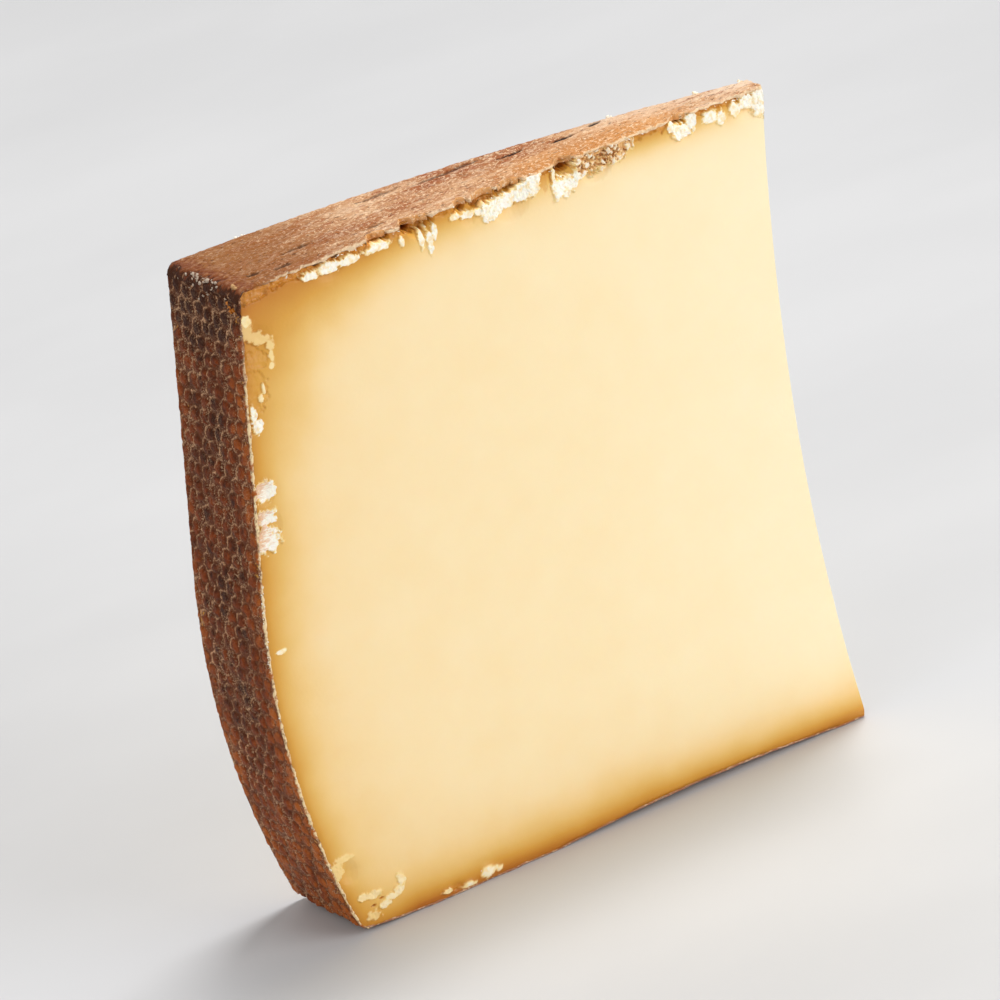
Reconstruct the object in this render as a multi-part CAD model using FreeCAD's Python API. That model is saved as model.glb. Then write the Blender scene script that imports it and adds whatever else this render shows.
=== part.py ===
"""A cut piece of a hard cheese wheel, standing on the narrow strip of the wheel's lower face that it kept.

The piece is made as the real one is. A sector of the whole wheel is turned about the wheel's axis. A knife
then cuts it flat in front, bowed and leaning a little behind, and hollow towards the wheel's middle. The
crust has broken away in a few places along the front edges and taken some paste with it.

Frame, in millimetres: +Z is up, along the wheel's axis. The heel, which is the wheel's round side, faces -X,
and the flat front cut faces -Y. The origin is the middle of the piece's bounding box, on the surface it
stands on. While the piece is built, X is counted from the belly of the heel, Y from the front cut and Z from
the surface.
"""

import FreeCAD
import Part

import math
import os

from FreeCAD import Vector

NODE = "cheese_piece"

# The wheel.
WHEEL_RADIUS = 290.0  # from the wheel's axis to the belly of the heel
RIM_HEIGHT = 110.9  # from the surface to the upper rim
BELLY_HEIGHT = 47.0  # where the heel stands out the furthest
BELLY_RADIUS = 131.0  # of the heel's curve round the belly, in section
FLANK_LEAN_DEG = 5.7  # how far the straight upper part of the heel leans in
UPPER_RIM_ROUND = 1.6
FOOT_RIM_ROUND = 2.0

# The wheel's upper face.
UPPER_FACE_RISE = 1.9  # from the rim to the inner cut
UPPER_FACE_DOME = 0.5  # crown over the chord from the rim to the inner cut

# The wheel's lower face, from the heel to the inner cut: a toe that curls up, a seat, a hollow, a seat.
FOOT_LIFT = 1.0
TOE_LENGTH = 15.0
HEEL_SEAT_LENGTH = 24.0
TIP_SEAT_LENGTH = 6.0
SEAT_HOLLOW = 1.1

# The inner cut, in section.
UPPER_LENGTH = 106.1  # from the belly to the inner cut, at the upper face
WAIST_LENGTH = 103.6  # the same where the inner cut is hollowed the most
WAIST_HEIGHT = 67.0
LOWER_LENGTH = 109.6  # the same at the lower face

# The back cut, in plan, at the upper rim: its distance from the front cut.
HEEL_THICKNESS = 20.7
TIP_THICKNESS = 3.9
BACK_CUT_BOW = 2.6
BACK_CUT_LEAN_DEG = 0.6  # it comes nearer to the front cut towards the surface

# Where the crust took paste with it, as hollows in the front cut: (along, in from the edge, width, depth).
UPPER_EDGE_BREAKS = [
    (22.5, 1.6, 6.0, 0.7),
    (39.5, 1.2, 4.6, 1.5),
    (48.5, 2.0, 5.0, 1.0),
    (56.5, 2.9, 7.6, 1.5),
    (66.5, 2.4, 5.4, 1.6),
    (73.0, 2.2, 7.0, 1.7),
    (90.0, 1.6, 5.2, 1.1),
    (102.6, 1.8, 6.0, 0.9),
]
# The same along the heel's front edge, from the surface up.
HEEL_EDGE_BREAKS = [
    (11.5, 3.0, 4.4, 0.7),
    (72.5, 2.4, 5.8, 0.9),
    (78.0, 2.2, 4.6, 0.8),
    (89.5, 1.2, 3.6, 0.5),
    (102.0, 2.8, 6.4, 0.7),
]

CUT_MARGIN = 4.0  # how far a blank or a cutter reaches past what it makes
MATCH = 1e-3  # two lengths closer than this are the same

UP = Vector(0, 0, 1)
BACKWARDS = Vector(0, 1, 0)


def far_end():
    """How far the blanks reach from the heel, past the inner cut."""
    return max(UPPER_LENGTH, LOWER_LENGTH) + CUT_MARGIN


def ceiling():
    """How high the cutters reach, past the upper face."""
    return RIM_HEIGHT + UPPER_FACE_RISE + UPPER_FACE_DOME + CUT_MARGIN


def bow_circle(start, end, bow):
    """Centre and radius of the circle through two points that stands bow proud of the chord's left side."""
    chord = end - start
    left = Vector(-chord.y, chord.x, 0) / chord.Length
    radius = ((chord.Length / 2) ** 2 + bow**2) / (2 * bow)
    return (start + end) / 2 + left * (bow - radius), radius


def upper_circle_point(circle, x):
    """The point at x on the upper half of a circle, given as its centre and radius."""
    centre, radius = circle
    return Vector(x, centre.y + math.sqrt(radius**2 - (x - centre.x) ** 2), 0)


def section_face(outline, y):
    """A face standing at y, from lists of two (a line) or three (an arc) points (x, z) of its outline."""
    edges = []
    for points in outline:
        placed = [Vector(point.x, y, point.y) for point in points]
        curve = Part.LineSegment(*placed) if len(placed) == 2 else Part.Arc(*placed)
        edges.append(curve.toShape())
    return Part.Face(Part.Wire(edges))


def flank_foot():
    """Where the heel's round belly runs into its straight flank."""
    lean = math.radians(FLANK_LEAN_DEG)
    return Vector(BELLY_RADIUS * (1 - math.cos(lean)), BELLY_HEIGHT + BELLY_RADIUS * math.sin(lean), 0)


def heel_point(z):
    """The point of the heel's section at a height."""
    flank = flank_foot()
    if z < flank.y:
        return Vector(BELLY_RADIUS - math.sqrt(BELLY_RADIUS**2 - (z - BELLY_HEIGHT) ** 2), z, 0)
    return Vector(flank.x + (z - flank.y) * math.tan(math.radians(FLANK_LEAN_DEG)), z, 0)


def upper_face_point(x):
    """The point of the upper face's section at x."""
    inner = Vector(UPPER_LENGTH, RIM_HEIGHT + UPPER_FACE_RISE, 0)
    return upper_circle_point(bow_circle(heel_point(RIM_HEIGHT), inner, UPPER_FACE_DOME), x)


def inner_cut_point(z):
    """The point of the inner cut's section at a height: one arc above the waist and one below."""
    if z > WAIST_HEIGHT:
        reach = Vector(UPPER_LENGTH - WAIST_LENGTH, RIM_HEIGHT + UPPER_FACE_RISE - WAIST_HEIGHT, 0)
    else:
        reach = Vector(LOWER_LENGTH - WAIST_LENGTH, WAIST_HEIGHT, 0)
    radius = reach.Length**2 / (2 * reach.x)
    return Vector(WAIST_LENGTH + radius - math.sqrt(radius**2 - (z - WAIST_HEIGHT) ** 2), z, 0)


def lower_face_outline(foot):
    """The lower face's section, from far inside the wheel to the foot of the heel."""
    toe_end = Vector(foot.x + TOE_LENGTH, 0, 0)
    heel_seat_end = Vector(toe_end.x + HEEL_SEAT_LENGTH, 0, 0)
    tip_seat = Vector(LOWER_LENGTH - TIP_SEAT_LENGTH, 0, 0)
    hollow_top = Vector((heel_seat_end.x + tip_seat.x) / 2, SEAT_HOLLOW, 0)
    # The toe's arc is tangent to the seat, so half-way along it has lifted by a quarter of the whole lift.
    toe_middle = Vector((foot.x + toe_end.x) / 2, FOOT_LIFT / 4, 0)
    return [
        [Vector(far_end(), 0, 0), tip_seat],
        [tip_seat, hollow_top, heel_seat_end],
        [heel_seat_end, toe_end],
        [toe_end, toe_middle, foot],
    ]


def round_rim(solid, corner, radius):
    """The sector with one rim rounded, the one that this corner of the section has drawn."""
    rims = [
        edge
        for edge in solid.Edges
        if isinstance(edge.Curve, Part.Circle)
        and abs(edge.Curve.Radius - (WHEEL_RADIUS - corner.x)) < MATCH
        and abs(edge.Curve.Center.z - corner.y) < MATCH
    ]
    return solid.makeFillet(radius, rims)


def wheel_sector():
    """The part of the wheel that the piece is cut from."""
    foot = heel_point(FOOT_LIFT)
    rim = heel_point(RIM_HEIGHT)
    far_upper = upper_face_point(far_end())
    outline = lower_face_outline(foot)
    outline.append([foot, heel_point(BELLY_HEIGHT), flank_foot()])
    outline.append([flank_foot(), rim])
    outline.append([rim, upper_face_point((rim.x + far_upper.x) / 2), far_upper])
    outline.append([far_upper, Vector(far_upper.x, 0, 0)])
    middle = HEEL_THICKNESS / 2
    section = section_face(outline, middle)
    axis_foot = Vector(WHEEL_RADIUS, middle, 0)
    half_angle = math.degrees(math.asin(HEEL_THICKNESS / (WHEEL_RADIUS - far_upper.x)))
    section.rotate(axis_foot, UP, -half_angle)
    sector = section.revolve(axis_foot, UP, 2 * half_angle)
    sector = round_rim(sector, rim, UPPER_RIM_ROUND)
    return round_rim(sector, foot, FOOT_RIM_ROUND)


def behind_the_front_cut():
    """The space behind the flat front cut."""
    height = ceiling() + CUT_MARGIN
    corner = Vector(-CUT_MARGIN, 0, -CUT_MARGIN)
    return Part.makeBox(far_end() + CUT_MARGIN, HEEL_THICKNESS + CUT_MARGIN, height, corner)


def before_the_back_cut():
    """The space in front of the back cut: a round disc, leaning a little, whose edge is the bowed cut."""
    at_heel = Vector(heel_point(RIM_HEIGHT).x, HEEL_THICKNESS, 0)
    at_tip = Vector(UPPER_LENGTH, TIP_THICKNESS, 0)
    centre, radius = bow_circle(at_heel, at_tip, BACK_CUT_BOW)
    lean = math.radians(BACK_CUT_LEAN_DEG)
    up_the_cut = Vector(0, math.sin(lean), math.cos(lean))
    foot = Vector(centre.x, centre.y, RIM_HEIGHT) - up_the_cut * (RIM_HEIGHT + CUT_MARGIN)
    return Part.makeCylinder(radius, ceiling() + 2 * CUT_MARGIN, foot, up_the_cut)


def beyond_the_inner_cut():
    """The space on the wheel's side of the inner cut."""
    top = inner_cut_point(ceiling())
    waist = inner_cut_point(WAIST_HEIGHT)
    bottom = inner_cut_point(-CUT_MARGIN)
    far = far_end() + CUT_MARGIN
    outline = [
        [top, inner_cut_point((top.y + waist.y) / 2), waist],
        [waist, inner_cut_point((waist.y + bottom.y) / 2), bottom],
        [bottom, Vector(far, bottom.y, 0)],
        [Vector(far, bottom.y, 0), Vector(far, top.y, 0)],
        [Vector(far, top.y, 0), top],
    ]
    return section_face(outline, -CUT_MARGIN).extrude(BACKWARDS * (HEEL_THICKNESS + 2 * CUT_MARGIN))


def break_ball(x, z, width, depth):
    """A ball that leaves a hollow of that width and depth in the front cut."""
    radius = ((width / 2) ** 2 + depth**2) / (2 * depth)
    return Part.makeSphere(radius, Vector(x, depth - radius, z))


def edge_breaks():
    """Every place where paste has broken out of the front cut beside the crust."""
    upper = [
        break_ball(along, upper_face_point(along).y - inwards, width, depth)
        for along, inwards, width, depth in UPPER_EDGE_BREAKS
    ]
    heel = [
        break_ball(heel_point(up).x + inwards, up, width, depth)
        for up, inwards, width, depth in HEEL_EDGE_BREAKS
    ]
    return upper + heel


def cheese_piece():
    """The cut piece, with its bounding box's middle over the origin and its seats on the surface."""
    piece = wheel_sector().common(behind_the_front_cut()).common(before_the_back_cut())
    piece = piece.cut(beyond_the_inner_cut()).cut(edge_breaks()).Solids[0]
    box = piece.optimalBoundingBox()
    piece.translate(Vector(-box.Center.x, -box.Center.y, -box.ZMin))
    return piece


def main():
    os.makedirs("parts", exist_ok=True)
    piece = cheese_piece()
    assert piece.isValid()
    piece.exportStep(f"parts/{NODE}.step")
    box = piece.optimalBoundingBox()
    sides = f"{box.XLength:.1f} x {box.YLength:.1f} x {box.ZLength:.1f} mm"
    print(f"{NODE}: {sides}, {piece.Volume / 1000:.1f} cm3")


main()
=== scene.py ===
"""Dresses a thin wedge of hard cheese: waxy paste, brown rinds, cloth marks, torn edges and crumbs.

Every piece is modelled in millimetres in the part's own frame and written to its mesh in metres. +Z is
up, the heel faces -X and the flat front cut faces -Y. Places along the wedge are counted from the heel's
upper corner, heights from the wedge's underside, and depths from the front cut.
"""

import logging
import math
import random
from dataclasses import dataclass, field
from enum import Enum
from typing import Callable, Sequence

import bpy
import numpy as np
from mathutils import Matrix, Vector, noise


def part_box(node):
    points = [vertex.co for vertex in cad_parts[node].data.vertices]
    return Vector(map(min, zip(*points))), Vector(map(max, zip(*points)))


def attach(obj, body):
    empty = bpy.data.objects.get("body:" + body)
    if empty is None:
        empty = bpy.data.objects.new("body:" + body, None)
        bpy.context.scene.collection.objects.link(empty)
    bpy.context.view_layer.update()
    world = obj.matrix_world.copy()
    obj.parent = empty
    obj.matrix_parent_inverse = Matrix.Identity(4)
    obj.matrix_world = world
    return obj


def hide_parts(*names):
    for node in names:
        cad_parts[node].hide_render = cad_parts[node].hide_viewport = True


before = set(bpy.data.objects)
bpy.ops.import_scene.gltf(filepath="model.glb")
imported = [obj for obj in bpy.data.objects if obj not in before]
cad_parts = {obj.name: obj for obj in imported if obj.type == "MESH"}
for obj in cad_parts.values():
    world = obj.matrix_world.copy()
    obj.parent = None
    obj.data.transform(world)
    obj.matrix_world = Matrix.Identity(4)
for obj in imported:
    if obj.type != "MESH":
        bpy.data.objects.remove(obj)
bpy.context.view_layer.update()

MM = 0.001
NODE = "cheese_piece"
BODY = "root"

# The heel bulges this far left of its upper corner, from which places along the wedge are counted.
BELLY_REACH = 5.5
# The rim is looked at from a point inside it, this far right of that corner and this far under the top.
CORNER_IN = 3.0
CORNER_DOWN = 4.4
# Rays start this far outside the wedge.
RAY_START = 5
RIM_RAY_START = 30

log = logging.getLogger("cheese_wedge")

Colour = tuple[float, float, float]
Curve = Callable[[np.ndarray], np.ndarray]
Surface = Callable[[np.ndarray, np.ndarray], np.ndarray]


class Slot(Enum):
    """The record's material slots."""

    PASTE = "paste"
    RIND = "rind"
    CRUMB = "crumb"


# ----------------------------------------------------------------------------------- number helpers


def linear(colour: Colour, alpha: float = 1.0) -> tuple[float, float, float, float]:
    """Turns a display colour into the linear one that a shader works in.

    Args:
        colour: Red, green and blue from 0 to 255.
        alpha: The fourth value.

    Returns:
        Red, green, blue and alpha from 0 to 1.
    """
    parts = [part / 255 for part in colour]
    curved = [part / 12.92 if part <= 0.04045 else ((part + 0.055) / 1.055) ** 2.4 for part in parts]
    return (*curved, alpha)


def smooth_step(low: float, high: float, value: np.ndarray) -> np.ndarray:
    """Rises smoothly from 0 at low to 1 at high.

    Args:
        low: Where the rise starts.
        high: Where it ends, which may be under low for a fall.
        value: The numbers to map.

    Returns:
        The mapped numbers.
    """
    share = np.clip((value - low) / (high - low), 0.0, 1.0)
    return share * share * (3 - 2 * share)


def grain(points: np.ndarray, size: float | Sequence[float], octaves: int, seed: int) -> np.ndarray:
    """Reads fractal noise about zero.

    Args:
        points: Places in millimetres, one row each.
        size: The size of the largest grains, one number or one for each axis.
        octaves: How many finer grains are laid on top.
        seed: Tells one field from another.

    Returns:
        One number for each point, mostly between -1 and 1.
    """
    scaled = points / np.asarray(size, dtype=float) + seed * np.array([17.3, -9.7, 5.1])
    return np.array([noise.fractal(Vector(row), 1.0, 2.0, octaves) for row in scaled])


def on_axis(values: np.ndarray, axis: int) -> np.ndarray:
    """Places with one coordinate given and the others 0.

    Args:
        values: The coordinate.
        axis: 0 for X, 1 for Y or 2 for Z.

    Returns:
        The places, one row each.
    """
    places = np.zeros((len(values), 3))
    places[:, axis] = values
    return places


def read_grid(grid: np.ndarray, row: np.ndarray, column: np.ndarray) -> np.ndarray:
    """Reads a grid of numbers between its entries.

    Args:
        grid: The numbers.
        row: Where to read, in rows.
        column: Where to read, in columns.

    Returns:
        One number for each place.
    """
    i = np.minimum(row.astype(int), grid.shape[0] - 2)
    j = np.minimum(column.astype(int), grid.shape[1] - 2)
    s, t = row - i, column - j
    near = grid[i, j] * (1 - t) + grid[i, j + 1] * t
    far = grid[i + 1, j] * (1 - t) + grid[i + 1, j + 1] * t
    return near * (1 - s) + far * s


def sampled(read: Callable[[float], float], places: np.ndarray) -> Curve:
    """Reads a line at some places, and gives the curve through them.

    Args:
        read: Reads the line at one place.
        places: The places, in rising order.

    Returns:
        The curve.
    """
    found = np.array([read(place) for place in places])
    return lambda wanted: np.interp(wanted, places, found)


# ------------------------------------------------------------------------------------- mesh helpers


def deselect() -> None:
    """Leaves nothing selected."""
    if bpy.context.object and bpy.context.object.mode != "OBJECT":
        bpy.ops.object.mode_set(mode="OBJECT")
    bpy.ops.object.select_all(action="DESELECT")


def activate(piece: bpy.types.Object) -> None:
    """Selects one piece alone and makes it the active one."""
    deselect()
    piece.select_set(True)
    bpy.context.view_layer.objects.active = piece


def corners(piece: bpy.types.Object) -> np.ndarray:
    """The places of a piece's vertices in millimetres, one row each."""
    places = np.empty(len(piece.data.vertices) * 3)
    piece.data.vertices.foreach_get("co", places)
    return places.reshape(-1, 3) / MM


def set_corners(piece: bpy.types.Object, places: np.ndarray) -> None:
    """Puts a piece's vertices at places given in millimetres."""
    piece.data.vertices.foreach_set("co", (places * MM).ravel())
    piece.data.update()


def normals(piece: bpy.types.Object) -> np.ndarray:
    """The normals at a piece's vertices, one row each."""
    found = np.empty(len(piece.data.vertices) * 3)
    piece.data.vertex_normals.foreach_get("vector", found)
    return found.reshape(-1, 3)


def store(piece: bpy.types.Object, name: str, values: np.ndarray) -> None:
    """Keeps one number for each vertex under a name that the materials read.

    Args:
        piece: The piece.
        name: The attribute's name.
        values: The numbers.
    """
    layer = piece.data.attributes.new(name, "FLOAT", "POINT")
    layer.data.foreach_set("value", np.asarray(values, dtype=np.float32))


def merge_close(piece: bpy.types.Object, gap: float) -> None:
    """Merges a piece's corners that are closer together than a gap.

    Args:
        piece: The piece.
        gap: The gap in millimetres.
    """
    activate(piece)
    bpy.ops.object.mode_set(mode="EDIT")
    bpy.ops.mesh.select_all(action="SELECT")
    bpy.ops.mesh.remove_doubles(threshold=gap * MM)
    bpy.ops.object.mode_set(mode="OBJECT")


def cad_copy(name: str) -> bpy.types.Object:
    """Copies the CAD solid's mesh into a new piece and merges its corners.

    Args:
        name: The new piece's name.

    Returns:
        The piece, as one closed mesh.
    """
    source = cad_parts[NODE]
    piece = bpy.data.objects.new(name, source.data.copy())
    piece.data.materials.clear()
    bpy.context.scene.collection.objects.link(piece)
    merge_close(piece, 0.001)
    return piece


def remesh(piece: bpy.types.Object, cell: float) -> None:
    """Rebuilds a closed piece from even square faces.

    Args:
        piece: The piece.
        cell: The faces' side in millimetres.
    """
    activate(piece)
    bpy.ops.object.modifier_add(type="REMESH")
    modifier = piece.modifiers[-1]
    modifier.mode = "VOXEL"
    modifier.voxel_size = cell * MM
    modifier.use_smooth_shade = True
    bpy.ops.object.modifier_apply(modifier=modifier.name)


def refine(piece: bpy.types.Object, wanted: Surface, cuts: int) -> None:
    """Cuts the faces of one region into smaller ones.

    Args:
        piece: The piece.
        wanted: Says which faces, from their centres in millimetres and their normals.
        cuts: How many times each edge is cut.
    """
    activate(piece)
    faces = piece.data.polygons
    centres = np.empty(len(faces) * 3)
    facing = np.empty(len(faces) * 3)
    faces.foreach_get("center", centres)
    faces.foreach_get("normal", facing)
    chosen = wanted(centres.reshape(-1, 3) / MM, facing.reshape(-1, 3))
    piece.data.vertices.foreach_set("select", np.zeros(len(piece.data.vertices), dtype=bool))
    piece.data.edges.foreach_set("select", np.zeros(len(piece.data.edges), dtype=bool))
    faces.foreach_set("select", chosen)
    bpy.ops.object.mode_set(mode="EDIT")
    bpy.ops.mesh.select_mode(type="FACE")
    bpy.ops.mesh.subdivide(number_cuts=cuts)
    bpy.ops.object.mode_set(mode="OBJECT")


def dress(piece: bpy.types.Object, material: bpy.types.Material, slot: Slot) -> bpy.types.Object:
    """Gives a piece its material and its body, and reports it.

    Args:
        piece: The piece.
        material: Its material.
        slot: The record's slot that the finish belongs to; not used.

    Returns:
        The piece.
    """
    piece.data.materials.clear()
    piece.data.materials.append(material)
    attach(piece, BODY)
    triangles = sum(len(face.vertices) - 2 for face in piece.data.polygons)
    log.info("%s: %d triangles, finish %s", piece.name, triangles, material.name)
    return piece


# ------------------------------------------------------------------------------- the CAD's surfaces


@dataclass(frozen=True)
class CheeseForm:
    """Finds the CAD solid's surfaces by casting rays at it. All places are in millimetres."""

    solid: bpy.types.Object
    low: Vector
    high: Vector

    @classmethod
    def of_node(cls, node: str) -> "CheeseForm":
        """Reads the form of a CAD node."""
        low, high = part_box(node)
        return cls(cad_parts[node], low / MM, high / MM)

    @property
    def front(self) -> float:
        """The front cut's y."""
        return self.low.y

    @property
    def origin_x(self) -> float:
        """The x from which places along the wedge are counted."""
        return self.low.x + BELLY_REACH

    def hit(self, origin: Sequence[float], direction: Sequence[float]) -> Vector | None:
        """Casts one ray.

        Args:
            origin: Where it starts.
            direction: Where it goes.

        Returns:
            Where it meets the solid, or None.
        """
        found, place, _, _ = self.solid.ray_cast(Vector(origin) * MM, Vector(direction))
        return place / MM if found else None

    def heel_x(self, y: float, z: float) -> float:
        """How far left the heel is at a depth and a height."""
        place = self.hit((self.low.x - 1, y, z), (1, 0, 0))
        return place.x if place else self.low.x

    def upper_z(self, x: float, y: float) -> float:
        """How high the upper face is at a place."""
        place = self.hit((x, y, self.high.z + 1), (0, 0, -1))
        return place.z if place else self.high.z

    def lower_z(self, x: float, y: float) -> float:
        """How high the lower face is at a place."""
        place = self.hit((x, y, self.low.z - 1), (0, 0, 1))
        return place.z if place else self.low.z

    def back_y(self, x: float, z: float) -> float:
        """How far back the back cut is at a place."""
        place = self.hit((x, self.high.y + 1, z), (0, -1, 0))
        return place.y if place else self.high.y

    def right_x(self, y: float, z: float) -> float:
        """How far right the wedge reaches at a depth and a height."""
        return self.hit((self.high.x + RAY_START, y, z), (-1, 0, 0)).x

    def inside_corner(self, y: float) -> Vector:
        """The point inside the rim's corner at a depth."""
        return Vector((self.origin_x + CORNER_IN, y, self.high.z - CORNER_DOWN))

    def rim_place(self, middle: Vector, out: Vector) -> Vector | None:
        """Where the rim is, seen from a point inside it in one direction."""
        return self.hit(middle + out * RIM_RAY_START, -out)

    def rim_at(self, turn: float) -> Vector:
        """Where the rim is behind the front cut, at a turn in radians from +X towards +Z."""
        middle = self.inside_corner(self.front + 2.0)
        return self.rim_place(middle, Vector((math.cos(turn), 0, math.sin(turn))))

    def heel_curve(self) -> Curve:
        """The heel's x as a function of height, halfway through the wedge."""
        middle = (self.low.y + self.high.y) / 2
        heights = np.linspace(self.low.z + 0.6, self.high.z - 3.2, 220)
        return sampled(lambda z: self.heel_x(middle, z), heights)

    def upper_curve(self) -> Curve:
        """The upper face's height as a function of x, just behind the front cut."""
        places = np.linspace(self.low.x + 8.0, self.high.x - 4.2, 160)
        return sampled(lambda x: self.upper_z(x, self.front + 2.6), places)

    def lower_curve(self) -> Curve:
        """The lower face's height as a function of x, just behind the front cut."""
        places = np.linspace(self.low.x + 10.0, self.high.x - 0.6, 160)
        return sampled(lambda x: self.lower_z(x, self.front + 1.0), places)


# ------------------------------------------------------------------------------------- node helpers


class NodeBench:
    """Lays out the nodes of one material and wires them to its surface shader."""

    def __init__(self, name: str) -> None:
        """Starts an empty material of that name."""
        self.material = bpy.data.materials.new(name)
        self.material.use_nodes = True
        self.tree = self.material.node_tree
        self.tree.nodes.clear()
        self.shader = self.tree.nodes.new("ShaderNodeBsdfPrincipled")
        output = self.tree.nodes.new("ShaderNodeOutputMaterial")
        self.tree.links.new(self.shader.outputs["BSDF"], output.inputs["Surface"])
        self.place = self.add("ShaderNodeTexCoord").outputs["Object"]

    def add(self, kind: str, inputs: dict | None = None, **settings: object) -> bpy.types.Node:
        """Adds a node.

        Args:
            kind: The node's type.
            inputs: Values or sockets for its inputs, by name or number.
            settings: Values for its own settings.

        Returns:
            The node.
        """
        node = self.tree.nodes.new(kind)
        for name, value in settings.items():
            setattr(node, name, value)
        for name, value in (inputs or {}).items():
            self.feed(node.inputs[name], value)
        return node

    def feed(self, socket: bpy.types.NodeSocket, value: object) -> None:
        """Links a socket to another one, or sets it to a plain value."""
        if isinstance(value, bpy.types.NodeSocket):
            self.tree.links.new(value, socket)
        else:
            socket.default_value = value

    def math(self, operation: str, *values: object, clamp: bool = False) -> bpy.types.NodeSocket:
        """Works out a number from one, two or three others.

        Args:
            operation: What is done with them.
            values: Numbers or sockets.
            clamp: Whether the result stays between 0 and 1.

        Returns:
            The result's socket.
        """
        inputs = dict(enumerate(values))
        return self.add("ShaderNodeMath", inputs, operation=operation, use_clamp=clamp).outputs[0]

    def stretched(self, grain_mm: Sequence[float]) -> bpy.types.NodeSocket:
        """The place counted in grains, from the grains' size along X, Y and Z."""
        scale = tuple(1 / (size * MM) for size in grain_mm)
        return self.add("ShaderNodeMapping", {"Vector": self.place, "Scale": scale}).outputs["Vector"]

    def noise(
        self, grain_mm: Sequence[float], detail: float = 3.0, roughness: float = 0.5, warp: float = 0.0
    ) -> bpy.types.NodeSocket:
        """Reads fractal noise between 0 and 1.

        Args:
            grain_mm: The grains' size along X, Y and Z.
            detail: How many finer grains are laid on top.
            roughness: How strong the finer ones are.
            warp: How much the noise is pulled about.

        Returns:
            The noise's socket.
        """
        inputs = {
            "Vector": self.stretched(grain_mm),
            "Scale": 1.0,
            "Detail": detail,
            "Roughness": roughness,
            "Distortion": warp,
        }
        return self.add("ShaderNodeTexNoise", inputs).outputs["Fac"]

    def span(
        self, value: object, low: float, high: float, start: float = 0.0, end: float = 1.0
    ) -> bpy.types.NodeSocket:
        """Maps a range of numbers to another, smoothly and clamped.

        Args:
            value: The number or socket.
            low: The range's start.
            high: The range's end.
            start: What low becomes.
            end: What high becomes.

        Returns:
            The mapped number's socket.
        """
        inputs = {"Value": value, "From Min": low, "From Max": high, "To Min": start, "To Max": end}
        return self.add("ShaderNodeMapRange", inputs, interpolation_type="SMOOTHSTEP").outputs["Result"]

    def ramp(self, value: object, stops: Sequence[tuple[float, Colour]]) -> bpy.types.NodeSocket:
        """Turns a number into a colour.

        Args:
            value: The number or socket.
            stops: Places from 0 to 1, each with its colour.

        Returns:
            The colour's socket.
        """
        node = self.add("ShaderNodeValToRGB", {"Fac": value})
        band = node.color_ramp
        while len(band.elements) < len(stops):
            band.elements.new(0.5)
        for element, (place, colour) in zip(band.elements, stops):
            element.position = place
            element.color = linear(colour)
        return node.outputs["Color"]

    def blend(self, share: object, first: object, second: object, mode: str = "MIX") -> bpy.types.NodeSocket:
        """Mixes two colours.

        Args:
            share: How much of the second one.
            first: A display colour or a socket.
            second: A display colour or a socket.
            mode: How they are mixed.

        Returns:
            The mixed colour's socket.
        """
        node = self.add("ShaderNodeMix", data_type="RGBA", blend_type=mode, clamp_factor=True)
        sockets = {socket.identifier: socket for socket in node.inputs}
        self.feed(sockets["Factor_Float"], share)
        for name, colour in (("A_Color", first), ("B_Color", second)):
            self.feed(sockets[name], colour if isinstance(colour, bpy.types.NodeSocket) else linear(colour))
        return next(s for s in node.outputs if s.identifier == "Result_Color")

    def read(self, name: str) -> bpy.types.NodeSocket:
        """A number that the piece keeps at each vertex."""
        return self.add("ShaderNodeAttribute", attribute_name=name).outputs["Fac"]

    def bump(self, height: object, depth_mm: float, under: object = None) -> bpy.types.NodeSocket:
        """Roughens the surface's shading.

        Args:
            height: The relief, from 0 to 1.
            depth_mm: What a height of 1 measures.
            under: The normal of a coarser relief below, if there is one.

        Returns:
            The normal's socket.
        """
        node = self.add("ShaderNodeBump", {"Height": height, "Strength": 1.0, "Distance": depth_mm * MM})
        if under is not None:
            self.feed(node.inputs["Normal"], under)
        return node.outputs["Normal"]

    def finish(
        self, colour: object, roughness: object, normal: object = None, **constants: object
    ) -> bpy.types.Material:
        """Wires the surface shader.

        Args:
            colour: The base colour's socket.
            roughness: The roughness, a number or socket.
            normal: The normal's socket, if the surface has relief in its shading.
            constants: Plain values for other inputs, with underscores for the spaces in their names.

        Returns:
            The material.
        """
        self.feed(self.shader.inputs["Base Color"], colour)
        self.feed(self.shader.inputs["Roughness"], roughness)
        if normal is not None:
            self.feed(self.shader.inputs["Normal"], normal)
        for name, value in constants.items():
            self.shader.inputs[name.replace("_", " ")].default_value = value
        return self.material


# ----------------------------------------------------------------------------------------- finishes


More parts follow.
